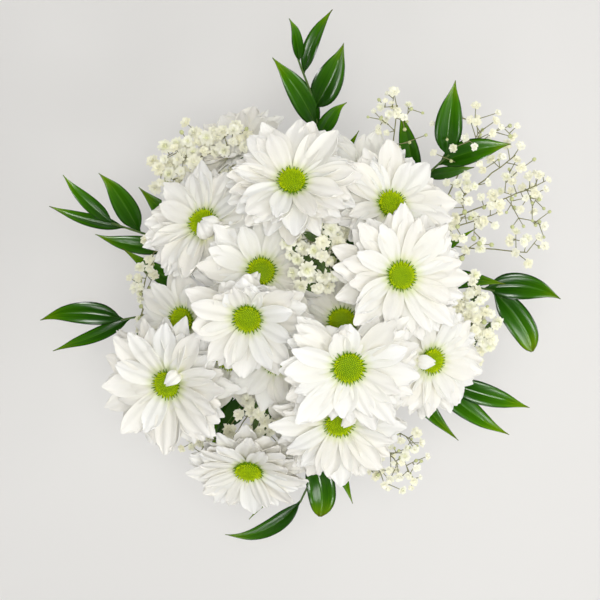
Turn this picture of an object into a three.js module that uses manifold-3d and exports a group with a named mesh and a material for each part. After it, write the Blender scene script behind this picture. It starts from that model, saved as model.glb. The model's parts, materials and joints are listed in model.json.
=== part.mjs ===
// A hand-tied bunch of white daisies with green eyes, glossy ruscus and gypsophila.
// The stems are laid in a spiral, bound once with raffia, and splay out below the tie,
// so that the bunch stands by itself on its cut ends. Millimetres, +Z up.
// The origin is the middle of the centre stem's cut end, on the plane that the bunch stands on.
import * as THREE from "three";
import { mergeVertices } from "three/addons/utils/BufferGeometryUtils.js";
import Module from "manifold-3d";

const wasm = await Module();
wasm.setup();

// Driving dimensions of the bundle of stems.
const TIE_Z = 120; // height of the raffia tie, where the stems cross
const STRAIGHT_TOP_Z = 150; // the stems run straight from their cut ends to here
const CENTRE_STEM_R = 2.5;
const DAISY_STEM_R = 2.4;
const THIN_STEM_R = 1.45; // ruscus and gypsophila
const DAISY_STEM_SEGMENTS = 8;
const THIN_STEM_SEGMENTS = 8;
const STEM_GAP = 0.35; // between stems that press on each other at the tie
const INNER_FOOT_R = 27; // radius on which the inner ring of cut ends stands
const OUTER_FOOT_R = 48; // radius on which the outer ring of cut ends stands
const SPIRAL_TURN = 60; // degrees from a stem's place at the tie to the way that it leaves the bunch
const INNER_RING_R = CENTRE_STEM_R + DAISY_STEM_R + STEM_GAP;
const OUTER_RING_R = INNER_RING_R + DAISY_STEM_R + THIN_STEM_R + STEM_GAP;
const INNER_SLOPE = Math.sqrt(INNER_FOOT_R ** 2 - INNER_RING_R ** 2) / TIE_Z;
const OUTER_SLOPE = Math.sqrt(OUTER_FOOT_R ** 2 - OUTER_RING_R ** 2) / TIE_Z;

// Gaps.
const CLEAR = 0.4; // least gap kept between two pieces that grow separately
const SEAT_GAP = 0.3; // gap between pieces that lie face to face

// Driving dimensions of a daisy.
const COLLAR_R = 6.4; // the petals grow from this ring
const COLLAR_H = 2.2;
const EYE_R = 6.9;
const CALYX_H = 8;
const PEDICEL_R = 1.5;
const PETALS = 16; // on a bloom, every second one in the lower layer
const LOW_PETALS = 10; // on a bloom that lies low, under its neighbours
const PETAL_ROOT_R = 3.6;
const PETAL_W = 11.2;
const PETAL_T = 0.9;
const UPPER = { pitch: 21, droop: -16, root: 1.45 }; // degrees, degrees, height of the root
const LOWER = { pitch: 8, droop: -8, root: 0.85 };

// The way along a petal and its width there, as a part of the full width.
const PETAL_RINGS = [
  { s: 0, w: 0 },
  { s: 0.22, w: 0.55 },
  { s: 0.62, w: 1 },
  { s: 0.89, w: 0.74 },
  { s: 1, w: 0 },
];
const PLAIN_PETAL_RINGS = [
  { s: 0, w: 0 },
  { s: 0.34, w: 0.8 },
  { s: 0.84, w: 0.85 },
  { s: 1, w: 0 },
];

// Driving dimensions of ruscus leaves, gypsophila and the tie.
const LEAF_T = 0.8;
const LEAF_FOLD = 0.3; // how far the edges rise, as a part of the half-width
const LIMB_R = 0.65;
const TWIG_R = 0.5;
const TIE_HALF = 4.6;
const TIE_WRAPS = 3;
const STRAND_T = 1.9;
const TIE_TURN = -70; // degrees round to the knot

const COLOURS = {
  petal: { color: 0xf7f7f0, roughness: 0.6 },
  eye: { color: 0x8fae1c, roughness: 0.7 },
  daisyStem: { color: 0x7f9a4a, roughness: 0.6 },
  ruscus: { color: 0x2f6b16, roughness: 0.3 },
  gypsophila: { color: 0xe6e8cf, roughness: 0.7 },
  raffia: { color: 0xc9ac77, roughness: 0.8 },
};

// The daisies, by spray: one stem carries three blooms. Each bloom has the middle of its collar,
// the way round (degrees from +X) and the angle that it leans, and its reach. Low blooms lie under
// their neighbours; they and the plain ones have petals with fewer rings. A cup raises all petals.
// A trim [way round, degrees each side, part kept] shortens some petals. A curl is a short petal
// that rolls in over the eye from that way round. The first spray stands in the middle.
const SPRAYS = [
  {
    centre: true,
    blooms: [
      { at: [-20, 14, 276], towards: 80, lean: 10, reach: 34, plain: true, curls: [-128] },
      { at: [-26, -8, 291], towards: 250, lean: 22, reach: 33, trims: [[85, 50, 0.64], [180, 12, 0.86]] },
      { at: [-12, -30, 262], towards: 260, lean: 14, reach: 31, low: true },
    ],
  },
  {
    slot: 120,
    blooms: [
      { at: [-4, 59, 283], towards: 92, lean: 27, reach: 35 },
      { at: [-31, 80, 241], towards: 118, lean: 52, reach: 29, low: true, cup: 12, curls: [-62, 10] },
      { at: [34, 62, 246], towards: 72, lean: 36, reach: 33, low: true },
    ],
  },
  {
    slot: 180,
    blooms: [
      { at: [-49, 39, 268], towards: 140, lean: 30, reach: 34, plain: true, curls: [-18, -66] },
      { at: [-60, -11, 257], towards: 180, lean: 32, reach: 31, low: true },
      { at: [-68, -43, 266], towards: 215, lean: 24, reach: 37, curls: [42] },
    ],
  },
  {
    slot: 0,
    blooms: [
      { at: [50, 12, 293], towards: 10, lean: 16, reach: 36 },
      { at: [46, 48, 275], towards: 50, lean: 26, reach: 34, plain: true },
      { at: [22, -12, 270], towards: 110, lean: 12, reach: 31, low: true },
    ],
  },
  {
    slot: 300,
    blooms: [
      {
        at: [24, -33, 300],
        towards: 290,
        lean: 14,
        reach: 37,
        eye: 1.12,
        trims: [[92, 40, 0.62], [256, 26, 0.76]],
      },
      { at: [20, -62, 272], towards: 275, lean: 30, reach: 36, plain: true, curls: [48] },
      { at: [67, -31, 264], towards: 340, lean: 30, reach: 31, plain: true, curls: [176], eye: 0.9 },
    ],
  },
  {
    slot: 240,
    blooms: [
      { at: [-27, -88, 246], towards: 262, lean: 48, reach: 33, plain: true },
      { at: [-37, -29, 238], towards: 262, lean: 36, reach: 34, low: true },
      { at: [-1, -67, 238], towards: 270, lean: 34, reach: 30, low: true, trims: [[180, 50, 0.5]] },
    ],
  },
];

// The ruscus sprigs: the slot on the outer ring, the points that the stem passes above the tie, and
// the leaves, each with its place along the stem, tip, width, arch, sideways sweep and roll. A
// blunt leaf stays wide to near its tip.
const SPRIGS = [
  {
    slot: 83,
    via: [[12, 62, 205], [8, 104, 232]],
    end: [-1, 128, 250],
    leaves: [
      { from: 1.0, tip: [-5, 148, 262], width: 7, arch: 2, sweep: -2, roll: 40 },
      { from: 0.97, tip: [17, 152, 264], width: 9, arch: 3, sweep: 4, roll: -35 },
      { from: 0.9, tip: [23, 136, 254], width: 15, arch: 2, sweep: -3, roll: -10 },
      { from: 0.86, tip: [-15, 128, 252], width: 13, arch: 3, sweep: -4, roll: 15 },
      { from: 0.84, tip: [24, 107, 240], width: 9, arch: 4, sweep: 3, roll: 20 },
      { from: 0.78, tip: [25, 80, 226], width: 9, arch: 6, sweep: 9, roll: 0 },
      { from: 0.72, tip: [32, 93, 220], width: 8, arch: 2, sweep: 0, roll: 10 },
    ],
  },
  {
    slot: 138,
    via: [[-48, 24, 196], [-78, 34, 214]],
    end: [-103, 42, 226],
    leaves: [
      { from: 1.0, tip: [-128.5, 67, 236], width: 8, arch: 3, sweep: 2, roll: 20 },
      { from: 0.94, tip: [-107, 69, 240], width: 12, arch: 2, sweep: -2, roll: -5 },
      { from: 0.97, tip: [-136.5, 51, 228], width: 8, arch: 3, sweep: 3, roll: 25 },
      { from: 0.86, tip: [-113, 36, 216], width: 10, arch: 2, sweep: 6, roll: 10 },
      { from: 0.8, tip: [-88, 62, 222], width: 13, arch: 2, sweep: 0, roll: 0 },
    ],
  },
  {
    slot: 166,
    via: [[-44, -2, 192], [-72, -6, 205]],
    end: [-99, -11, 213],
    leaves: [
      { from: 1.0, tip: [-144, -10, 214], width: 12, arch: 5, sweep: -7, roll: 0 },
      { from: 0.98, tip: [-137.5, -27, 208], width: 8, arch: 3, sweep: 4, roll: 15 },
      { from: 0.8, tip: [-98, 27.5, 222], width: 11, arch: 2, sweep: 0, roll: -10 },
      { from: 0.84, tip: [-98, -24, 200], width: 7, arch: 2, sweep: 0, roll: 0 },
    ],
  },
  {
    slot: 55,
    via: [[38, 42, 196], [62, 62, 222]],
    end: [80, 78, 240],
    leaves: [
      { from: 1.0, tip: [83, 116, 254], width: 14, arch: 2, sweep: 3, roll: 0 },
      { from: 0.97, tip: [113, 83, 244], width: 13, arch: 4, sweep: 4, roll: -10 },
      { from: 0.9, tip: [53, 101, 244], width: 11, arch: 2, sweep: -3, roll: 0 },
      { from: 0.93, tip: [94, 72, 236], width: 7, arch: 3, sweep: 0, roll: 25 },
    ],
  },
  {
    slot: 0,
    via: [[46, 8, 194], [80, 10, 211]],
    end: [107, 5, 219],
    leaves: [
      { from: 0.98, tip: [144, 1, 216], width: 14, arch: 6, sweep: 8, roll: 0, blunt: true },
      { from: 1.0, tip: [130, -28, 212], width: 14, arch: 3, sweep: 4, roll: 0, blunt: true },
      { from: 0.82, tip: [112, 9, 226], width: 11, arch: 5, sweep: 5, roll: 0 },
      { from: 0.78, tip: [96, 40, 222], width: 8, arch: 2, sweep: 0, roll: 0 },
    ],
  },
  {
    slot: 305,
    via: [[40, -22, 190], [62, -38, 204]],
    end: [82, -46, 213],
    leaves: [
      { from: 1.0, tip: [127, -59, 214], width: 12, arch: 4, sweep: -1, roll: 0 },
      { from: 0.95, tip: [116, -76, 206], width: 12, arch: 3, sweep: -4, roll: 0 },
      { from: 0.84, tip: [88, -79.5, 200], width: 11, arch: 3, sweep: -3, roll: 0 },
    ],
  },
  {
    slot: 249,
    via: [[4, -40, 190], [7, -74, 202], [8, -94, 207]],
    end: [0, -113, 204],
    leaves: [
      { from: 0.9, tip: [12, -121, 204], width: 15, arch: 6, sweep: 5, roll: 0, blunt: true },
      { from: 0.82, tip: [31, -113.5, 200], width: 9, arch: 2, sweep: 0, roll: 0 },
      { from: 1.0, tip: [-42, -133, 200], width: 9, arch: -3, sweep: 13, roll: 10 },
      { from: 0.84, tip: [-28, -125, 190], width: 8, arch: 2, sweep: 3, roll: 0 },
    ],
  },
  {
    slot: 194,
    via: [[-24, -28, 188], [-36, -46, 200]],
    end: [-42, -58, 206],
    leaves: [
      { from: 1.0, tip: [-49, -81, 220], width: 12, arch: 3, sweep: 3, roll: 0 },
      { from: 0.93, tip: [-60, -76, 212], width: 9, arch: 2, sweep: 0, roll: 0 },
      { from: 0.85, tip: [-16, -72, 206], width: 9, arch: 2, sweep: 0, roll: 0 },
    ],
  },
];

// The gypsophila: the slot and the path of the stem, the half-width of the flowers, how many stand
// in a clump, and the ends of the branches, which carry a clump each. The petals make way for the
// flowers of a spray inside the bunch.
const VEILS = [
  {
    slot: 111,
    flower: 3.4,
    clump: 3,
    inside: true,
    via: [[-26, 44, 198]],
    end: [-52, 64, 218],
    branches: [[-65, 80, 236], [-54, 90, 238], [-74, 68, 230], [-80, 26, 222]],
  },
  {
    slot: 28,
    flower: 3,
    clump: 3,
    via: [[46, 26, 196]],
    end: [78, 46, 218],
    branches: [
      [96, 90, 240],
      [116, 78, 238],
      [128, 62, 236],
      [124, 26, 224],
      [104, 46, 234],
      [52, 104, 246],
    ],
  },
  {
    innerRing: true,
    slot: 60,
    flower: 4.2,
    clump: 3,
    inside: true,
    via: [[8, 16, 190]],
    end: [10, 28, 228],
    branches: [[9, 37, 258], [17, 29, 262], [3, 27, 254], [21, 41, 254]],
  },
  {
    slot: 332,
    flower: 3.4,
    clump: 2,
    via: [[44, -8, 192]],
    end: [76, -8, 216],
    branches: [[96, 4, 234], [92, -14, 232], [99, -22, 226], [86, 16, 232]],
  },
  {
    slot: 277,
    flower: 3,
    clump: 2,
    via: [[22, -44, 190]],
    end: [40, -76, 206],
    branches: [[54, -90, 222], [44, -94, 218], [60, -76, 222], [36, -92, 212]],
  },
  {
    slot: 221,
    flower: 4,
    clump: 3,
    inside: true,
    via: [[-22, -50, 190]],
    end: [-27, -62, 216],
    branches: [[-25, -64, 240], [-16, -74, 236], [-33, -70, 234], [-46, -78, 222]],
  },
];

// Ways to grow a piece that would cross a neighbour, in the order in which they are tried.
const PETAL_WAYS = [1, 0.84, 0.68, 0.52].flatMap((shorter) =>
  [0, -8, 8, -16, 16, -26, 26, -38].flatMap((bend) =>
    [0, 7, -7].map((turn) => ({ shorter, bend, turn })),
  ),
);
const PEDICEL_WAYS = [0, 5, -5, 10, -10, 16, -16, 22, -22].flatMap((side) =>
  [0, -6, 8, 16].map((drop) => ({ side, drop })),
);
const LEAF_WAYS = [0, -4, 4, -9, 9, -15].flatMap((lift) =>
  [0, 25, -25].map((roll) => ({ lift, roll })),
);

// Small helpers

// A repeatable draw from 0 to 1 for the piece numbered a and its detail numbered b.
function draw(a, b) {
  const v = Math.sin(a * 12.9898 + b * 78.233) * 43758.5453;
  return v - Math.floor(v);
}

const spreadDraw = (a, b, half) => (2 * draw(a, b) - 1) * half;
const radians = THREE.MathUtils.degToRad;
const vec = (x, y, z) => new THREE.Vector3(x, y, z);
const snap = (v) => Math.round(v * 1e5) / 1e5; // so that both sides of a seam agree

function solidOf(geometry) {
  const bare = geometry.clone();
  bare.deleteAttribute("normal");
  bare.deleteAttribute("uv");
  const merged = mergeVertices(bare, 1e-4);
  const vertProperties = merged.attributes.position.array;
  const triVerts = new Uint32Array(merged.index.array);
  return new wasm.Manifold(new wasm.Mesh({ numProp: 3, vertProperties, triVerts }));
}

function meshOf(name, solid, colour) {
  const { vertProperties, triVerts } = solid.getMesh();
  const geometry = new THREE.BufferGeometry();
  geometry.setAttribute("position", new THREE.BufferAttribute(vertProperties, 3));
  geometry.setIndex(new THREE.BufferAttribute(triVerts, 1));
  const material = new THREE.MeshStandardMaterial({ ...colour, metalness: 0 });
  const mesh = new THREE.Mesh(geometry, material);
  mesh.name = name;
  return mesh;
}

const fuse = (solids) => solids.reduce((all, next) => all.add(next));

// A profile [radius, height] turned round the Z axis.
function lathe(profile, sides) {
  const points = profile.map(([r, z]) => new THREE.Vector2(r, z));
  return new THREE.LatheGeometry(points, sides).rotateX(Math.PI / 2);
}

// A point on the straight pieces that a tube of so many segments is made of.
function onTube(curve, segments, s) {
  const k = Math.min(segments - 1, Math.floor(s * segments));
  const low = curve.getPointAt(k / segments);
  const high = curve.getPointAt((k + 1) / segments);
  return low.lerp(high, s * segments - k);
}

// A round tube along a curve; its radius is a function of the way along. A level foot is cut at z 0.
function tube(curve, radiusAt, sides, segments, levelFoot = false) {
  const geometry = new THREE.CylinderGeometry(1, 1, 1, sides, segments);
  const position = geometry.attributes.position;
  const ends = curve.getPoint(1).sub(curve.getPoint(0));
  const beside = Math.hypot(ends.x, ends.y) < 1 ? vec(0, 1, 0) : vec(-ends.y, ends.x, 0);
  for (let i = 0; i < position.count; i++) {
    const along = Math.min(1, Math.max(0, position.getY(i) + 0.5));
    const tangent = curve.getTangentAt(along);
    const first = tangent.clone().cross(beside).normalize();
    const second = first.clone().cross(tangent);
    const r = radiusAt(along);
    const point = curve.getPointAt(along);
    point.addScaledVector(first, snap(position.getX(i)) * r);
    point.addScaledVector(second, snap(position.getZ(i)) * r);
    if (levelFoot && along === 0) point.z = 0;
    position.setXYZ(i, point.x, point.y, point.z);
  }
  return solidOf(geometry);
}

// A blade: rings between two pointed ends. place(ring, turn) puts each vertex; the turn runs once
// round the blade from its keel.
function blade(sides, rings, place) {
  const geometry = new THREE.CylinderGeometry(0, 0, 1, sides, rings.length - 1, true);
  const { position, uv } = geometry.attributes;
  for (let i = 0; i < position.count; i++) {
    const ring = rings[Math.round(uv.getY(i) * (rings.length - 1))];
    const point = place(ring, (uv.getX(i) % 1) * 2 * Math.PI);
    position.setXYZ(i, point.x, point.y, point.z);
  }
  return solidOf(geometry);
}

// The pieces already placed in the bunch, each with the name of the node that it belongs to
const placed = [];

function keep(node, solid) {
  placed.push({ node, solid, box: solid.boundingBox() });
}

function boxesMeet(a, b) {
  return [0, 1, 2].every((k) => a.min[k] <= b.max[k] && b.min[k] <= a.max[k]);
}

function isClear(node, solid) {
  const box = solid.boundingBox();
  const others = placed.filter((other) => other.node !== node && boxesMeet(box, other.box));
  return others.every((other) => other.solid.intersect(solid).isEmpty());
}

// The first of several ways in which a piece, fattened by the least gap, touches nothing placed.
function firstClear(node, ways, grow) {
  return ways.find((way) => isClear(node, grow(way, CLEAR)));
}

// Stems

// The spiral: a straight line that touches a ring at the tie and leans round the bunch.
function spiralPoint(ringR, slope, angle, z) {
  const along = slope * (z - TIE_Z);
  const x = ringR * Math.cos(angle) - along * Math.sin(angle);
  const y = ringR * Math.sin(angle) + along * Math.cos(angle);
  return vec(x, y, z);
}

function spiralStart(ringR, slope, slot) {
  const heights = [0, TIE_Z / 3, (2 * TIE_Z) / 3, TIE_Z, STRAIGHT_TOP_Z];
  return heights.map((z) => spiralPoint(ringR, slope, radians(slot - SPIRAL_TURN), z));
}

// The stem of a spray ends in a fork, from which the pedicels of its blooms spread.
function sprayPath(spray) {
  const middle = vec(0, 0, 0);
  for (const bloom of spray.blooms) middle.add(vec(...bloom.at).divideScalar(spray.blooms.length));
  const fork = vec(middle.x * 0.5, middle.y * 0.5, middle.z * 0.5 + 62);
  const upright = [0, TIE_Z / 2, TIE_Z, STRAIGHT_TOP_Z].map((z) => vec(0, 0, z));
  const start = spray.centre ? upright : spiralStart(INNER_RING_R, INNER_SLOPE, spray.slot);
  return new THREE.CatmullRomCurve3([...start, fork], false, "centripetal");
}

function sprayStem(spray) {
  const r = spray.centre ? CENTRE_STEM_R : DAISY_STEM_R;
  return tube(spray.path, (s) => r - 0.5 * s, 6, DAISY_STEM_SEGMENTS, true);
}

function pedicelCurve(spray, order, way) {
  const bloom = spray.blooms[order];
  const s = 0.985 - 0.05 * order;
  const from = onTube(spray.path, DAISY_STEM_SEGMENTS, s);
  const heading = spray.path.getTangentAt(s);
  const foot = vec(0, 0, -SEAT_GAP - CALYX_H + 0.8).applyMatrix4(bloom.matrix);
  const axis = vec(0, 0, 1).transformDirection(bloom.matrix);
  const pull = foot.distanceTo(from) * 0.35;
  const side = vec(-foot.y, foot.x, 0).normalize().multiplyScalar(way.side);
  const first = from.clone().addScaledVector(heading, pull).add(side);
  const second = foot.clone().addScaledVector(axis, -pull).add(side);
  second.z -= way.drop;
  return new THREE.CubicBezierCurve3(from, first, second, foot);
}

function pedicelSolid(spray, order, way, margin = 0) {
  return tube(pedicelCurve(spray, order, way), () => PEDICEL_R + margin, 5, 3);
}

// Ruscus and gypsophila have thin stems, in the outer ring unless a spray is set further in.
function thinPath({ innerRing, slot, via, end }) {
  const start = innerRing
    ? spiralStart(CENTRE_STEM_R + THIN_STEM_R + STEM_GAP, INNER_SLOPE, slot)
    : spiralStart(OUTER_RING_R, OUTER_SLOPE, slot);
  const above = [...via, end].map((point) => vec(...point));
  return new THREE.CatmullRomCurve3([...start, ...above], false, "centripetal");
}

function thinStem(plant, margin = 0) {
  const radiusAt = (s) => THIN_STEM_R - 0.6 * s + margin;
  return tube(plant.path, radiusAt, 5, THIN_STEM_SEGMENTS, true);
}

// Daisies, each drawn in its own frame: the collar's underside at the origin, the eye up

function bloomMatrix({ at, towards, lean }) {
  const way = radians(towards);
  const axle = vec(-Math.sin(way), Math.cos(way), 0);
  const turn = new THREE.Quaternion().setFromAxisAngle(axle, radians(lean));
  return new THREE.Matrix4().compose(vec(...at), turn, vec(1, 1, 1));
}

const inBunch = (solid, bloom) => solid.transform(bloom.matrix.elements);

// The green eye: a low dome, nipped in at its foot, raised in rows of florets.
function eyeSolid({ eye = 1, low }) {
  const base = COLLAR_H + SEAT_GAP;
  const wide = EYE_R * eye;
  const profile = [
    [0, base],
    [wide - 2.4, base],
    [wide, base + 1.7],
    [wide - 1.5, base + 3.5],
    [wide - 4.4, base + 4.1],
    [0, base + 3.8],
  ];
  const sides = low ? 8 : 10;
  const geometry = lathe(profile, sides);
  const position = geometry.attributes.position;
  for (let i = 0; i < position.count; i++) {
    const x = position.getX(i);
    const y = position.getY(i);
    const row = Math.round((position.getZ(i) - base) * 2);
    const spoke = Math.round((Math.atan2(x, y) * sides) / (2 * Math.PI));
    const onSide = row > 0 && Math.hypot(x, y) > 1;
    const raised = onSide && (spoke + row) % 2 === 0 ? 1.06 : 0.97;
    position.setXY(i, x * raised, y * raised);
  }
  return solidOf(geometry);
}

function collarSolid() {
  const geometry = new THREE.CylinderGeometry(COLLAR_R, COLLAR_R, COLLAR_H, 8);
  return solidOf(geometry.rotateX(Math.PI / 2).translate(0, 0, COLLAR_H / 2));
}

// The green cup under a bloom.
function calyxSolid() {
  const top = -SEAT_GAP;
  const profile = [
    [0, top - CALYX_H],
    [PEDICEL_R + 0.3, top - CALYX_H],
    [COLLAR_R - 1.2, top - 3],
    [COLLAR_R - 0.5, top],
    [0, top],
  ];
  return solidOf(lathe(profile, 6));
}

// A point of the bloom's frame, by its way round, its radius, its place across and its height.
function onBloom(azimuth, radial, across, up) {
  const x = radial * Math.cos(azimuth) - across * Math.sin(azimuth);
  const y = radial * Math.sin(azimuth) + across * Math.cos(azimuth);
  return vec(x, y, up);
}

const petalCount = (bloom) => (bloom.low ? LOW_PETALS : PETALS);

function trimAt(bloom, degrees) {
  const apart = (middle) => Math.abs(((degrees - middle + 540) % 360) - 180);
  const trim = (bloom.trims ?? []).find(([middle, half]) => apart(middle) <= half);
  return trim ? trim[2] : 1;
}

// How petal i of a bloom lies: its way round, pitch and droop in radians, length and half-width.
function petalPlan(bloom, i, way) {
  const layer = i % 2 === 0 ? UPPER : LOWER;
  const spoke = (360 / petalCount(bloom)) * i;
  const pitch = layer.pitch + (bloom.cup ?? 0) + spreadDraw(bloom.index, i + 40, 4) + way.bend;
  const uneven = 1 + spreadDraw(bloom.index, i + 120, 0.07);
  return {
    azimuth: radians(spoke + spreadDraw(bloom.index, i, 4) + way.turn),
    pitch: radians(pitch),
    droop: radians(layer.droop + spreadDraw(bloom.index, i + 80, 12)),
    length: bloom.reach * uneven * way.shorter * trimAt(bloom, spoke) - PETAL_ROOT_R,
    halfW: (PETAL_W / 2) * (1 + spreadDraw(bloom.index, i + 160, 0.1)),
    root: layer.root,
  };
}

// One petal: a keeled blade whose tip curves down.
function petalSolid(bloom, i, way, margin = 0) {
  const { azimuth, pitch, droop, length, halfW, root } = petalPlan(bloom, i, way);
  const rings = bloom.low || bloom.plain ? PLAIN_PETAL_RINGS : PETAL_RINGS;
  return blade(3, rings, ({ s, w }, turn) => {
    const rise = pitch + (droop * s) / 2;
    const slant = pitch + droop * s;
    const out = PETAL_ROOT_R + length * s * Math.cos(rise) + (s === 1 ? margin : 0);
    const up = root + length * s * Math.sin(rise);
    const wide = w === 0 ? 0 : halfW * w + margin;
    const thick = w === 0 ? 0 : PETAL_T + 2 * margin;
    const across = (Math.sin(turn) / Math.sin(Math.PI / 3)) * wide;
    const over = (-Math.cos(turn) * 2 * thick) / 3;
    return onBloom(azimuth, out - over * Math.sin(slant), across, up + over * Math.cos(slant));
  });
}

// A short petal that comes up beside the eye and rolls in over it.
function curlSolid(bloom, degrees, margin = 0) {
  const wide = EYE_R * (bloom.eye ?? 1);
  const rings = [
    { r: COLLAR_R - 1, z: 1.1, w: 0, slant: 30 },
    { r: wide + 2.2, z: 2.8, w: 2.4, slant: 50 },
    { r: wide + 2.7, z: 6.6, w: 3.8, slant: 105 },
    { r: wide - 0.8, z: 9.2, w: 3.4, slant: 165 },
    { r: wide - 4.4, z: 9.0, w: 0, slant: 200 },
  ];
  return blade(3, rings, ({ r, z, w, slant }, turn) => {
    const thick = w === 0 ? 0 : PETAL_T + 2 * margin;
    const across = w === 0 ? 0 : (Math.sin(turn) / Math.sin(Math.PI / 3)) * (w + margin);
    const over = (-Math.cos(turn) * 2 * thick) / 3;
    const radial = r - over * Math.sin(radians(slant));
    return onBloom(radians(degrees), radial, across, z + over * Math.cos(radians(slant)));
  });
}

// Ruscus leaves: folded blades with a drawn-out tip

function leafCurve(path, leaf, way) {
  const base = onTube(path, THIN_STEM_SEGMENTS, Math.min(leaf.from, 0.995));
  const tip = vec(...leaf.tip);
  tip.z += way.lift;
  const along = tip.clone().sub(base);
  const beside = vec(-along.y, along.x, 0).normalize();
  const middle = base.clone().lerp(tip, 0.5).addScaledVector(beside, leaf.sweep);
  middle.z += leaf.arch + way.lift / 2;
  return new THREE.QuadraticBezierCurve3(base, middle, tip);
}

function leafSolid(path, leaf, way, margin = 0) {
  const curve = leafCurve(path, leaf, way);
  const roll = radians(leaf.roll + way.roll);
  const rings = [
    { s: 0, w: 0 },
    { s: 0.1, w: 0.24 },
    { s: 0.36, w: 1 },
    { s: leaf.blunt ? 0.82 : 0.7, w: leaf.blunt ? 0.86 : 0.78 },
    { s: 1, w: 0 },
  ];
  return blade(4, rings, ({ s, w }, turn) => {
    const tangent = curve.getTangent(s);
    const level = vec(-tangent.y, tangent.x, 0).normalize();
    const across = level.applyAxisAngle(tangent, roll);
    const up = tangent.clone().cross(across);
    const wide = w === 0 ? 0 : (leaf.width / 2) * w + margin;
    const thick = w === 0 ? 0 : LEAF_T + 2 * margin;
    const fold = Math.abs(Math.sin(turn)) * wide * LEAF_FOLD;
    const point = curve.getPoint(s).addScaledVector(across, Math.sin(turn) * wide);
    return point.addScaledVector(up, fold - (Math.cos(turn) * thick) / 2);
  });
}

// Gypsophila: thin limbs, and five-pointed flowers on twigs round the end of each

function limbRoot(veil, b) {
  return onTube(veil.path, THIN_STEM_SEGMENTS, 0.98 - 0.03 * b);
}

// A straight three-sided limb. Its flats lie half its radius from its middle.
function limbSolid(veil, b, margin = 0) {
  const line = new THREE.LineCurve3(limbRoot(veil, b), vec(...veil.branches[b]));
  return tube(line, () => LIMB_R + 2 * margin, 3, 1);
}

// Where flower f of branch b stands, and how wide it is.
function flowerPlan(veil, b, f) {
  const seed = 1000 + veil.index * 100 + b * 10 + f;
  const end = vec(...veil.branches[b]);
  const angle = ((f + draw(seed, 1)) / veil.clump) * 2 * Math.PI;
  const out = veil.flower * (1.5 + 1.2 * draw(seed, 2));
  const offset = vec(out * Math.cos(angle), out * Math.sin(angle), 2 + 6 * draw(seed, 3));
  return {
    from: limbRoot(veil, b).lerp(end, 0.98 - 0.04 * f),
    centre: end.clone().add(offset),
    axis: offset.clone().normalize().add(vec(0, 0, 1.2)).normalize(),
    wide: veil.flower * (0.85 + 0.3 * draw(seed, 4)),
  };
}

// A flower and its twig in one: a thin stalk that opens into a five-pointed dish.
function tinyFlower({ from, centre, axis, wide }, margin = 0) {
  const curve = new THREE.QuadraticBezierCurve3(from, centre.clone().addScaledVector(axis, -3), centre);
  const beside = vec(from.y - centre.y, centre.x - from.x, 0);
  const rings = [
    { s: 0, r: 0, up: 0 },
    { s: 0.08, r: TWIG_R, up: 0 },
    { s: 0.74, r: TWIG_R, up: 0 },
    { s: 1, r: wide, up: 0.8 },
    { s: 1, r: 0, up: 0 },
  ];
  return blade(5, rings, ({ s, r, up }, turn) => {
    const tangent = curve.getTangent(s);
    const first = tangent.clone().cross(beside).normalize();
    const second = first.clone().cross(tangent);
    const fat = r === 0 ? 0 : r + margin;
    const point = curve.getPoint(s).addScaledVector(tangent, up);
    point.addScaledVector(first, Math.sin(turn) * fat);
    return point.addScaledVector(second, Math.cos(turn) * fat);
  });
}

// The raffia tie: three wraps pulled tight round the outer stems, a knot and two loose ends

function tieBand(inside) {
  const profile = [[inside, -TIE_HALF]];
  for (let k = 0; k < TIE_WRAPS; k++) {
    const low = -TIE_HALF + (2 * TIE_HALF * k) / TIE_WRAPS;
    profile.push([inside + STRAND_T * 0.6, low + 0.2]);
    profile.push([inside + STRAND_T, low + TIE_HALF / TIE_WRAPS]);
  }
  profile.push([inside + STRAND_T * 0.6, TIE_HALF - 0.2], [inside, TIE_HALF], [inside, -TIE_HALF]);
  return solidOf(lathe(profile, 14));
}

function tieEnd(points) {
  const curve = new THREE.CatmullRomCurve3(points.map((point) => vec(...point)));
  return tube(curve, (s) => 0.95 - 0.35 * s, 4, 4);
}

function tieSolid() {
  const inside = Math.hypot(OUTER_RING_R, OUTER_SLOPE * TIE_HALF) + THIN_STEM_R + SEAT_GAP;
  const x = inside + STRAND_T + 0.6;
  const knot = new THREE.IcosahedronGeometry(3.6, 0).scale(0.8, 1.15, 1).translate(x, 0, 0);
  const ends = [
    tieEnd([[x, 1, -1], [x + 6, 7, -6], [x + 13, 14, -24], [x + 17, 16, -42]]),
    tieEnd([[x, -1, -1], [x + 7, -6, -3], [x + 15, -15, -18], [x + 22, -19, -34]]),
  ];
  const tie = fuse([tieBand(inside), solidOf(knot), ...ends]);
  return tie.rotate([0, 0, TIE_TURN]).translate([0, 0, TIE_Z]);
}

// The bunch grows in this order, and each piece keeps clear of those before it

const BLOOMS = SPRAYS.flatMap((spray) => spray.blooms);

function nameEverything() {
  BLOOMS.forEach((bloom, k) => {
    bloom.index = k;
    bloom.name = `daisy_${String(k + 1).padStart(2, "0")}`;
    bloom.matrix = bloomMatrix(bloom);
  });
  SPRAYS.forEach((spray, k) => {
    spray.name = `daisy_stem_${k + 1}`;
  });
  SPRIGS.forEach((sprig, k) => {
    sprig.name = `ruscus_${k + 1}`;
  });
  VEILS.forEach((veil, k) => {
    veil.index = k;
    veil.name = `gypsophila_${k + 1}`;
  });
}

function addPart(plant, solid) {
  plant.parts.push(solid);
  keep(plant.name, solid);
}

function growEyes() {
  for (const bloom of BLOOMS) {
    keep(`${bloom.name}_eye`, inBunch(eyeSolid(bloom), bloom));
    keep(`${bloom.name}_petals`, inBunch(collarSolid(), bloom));
  }
}

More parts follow.
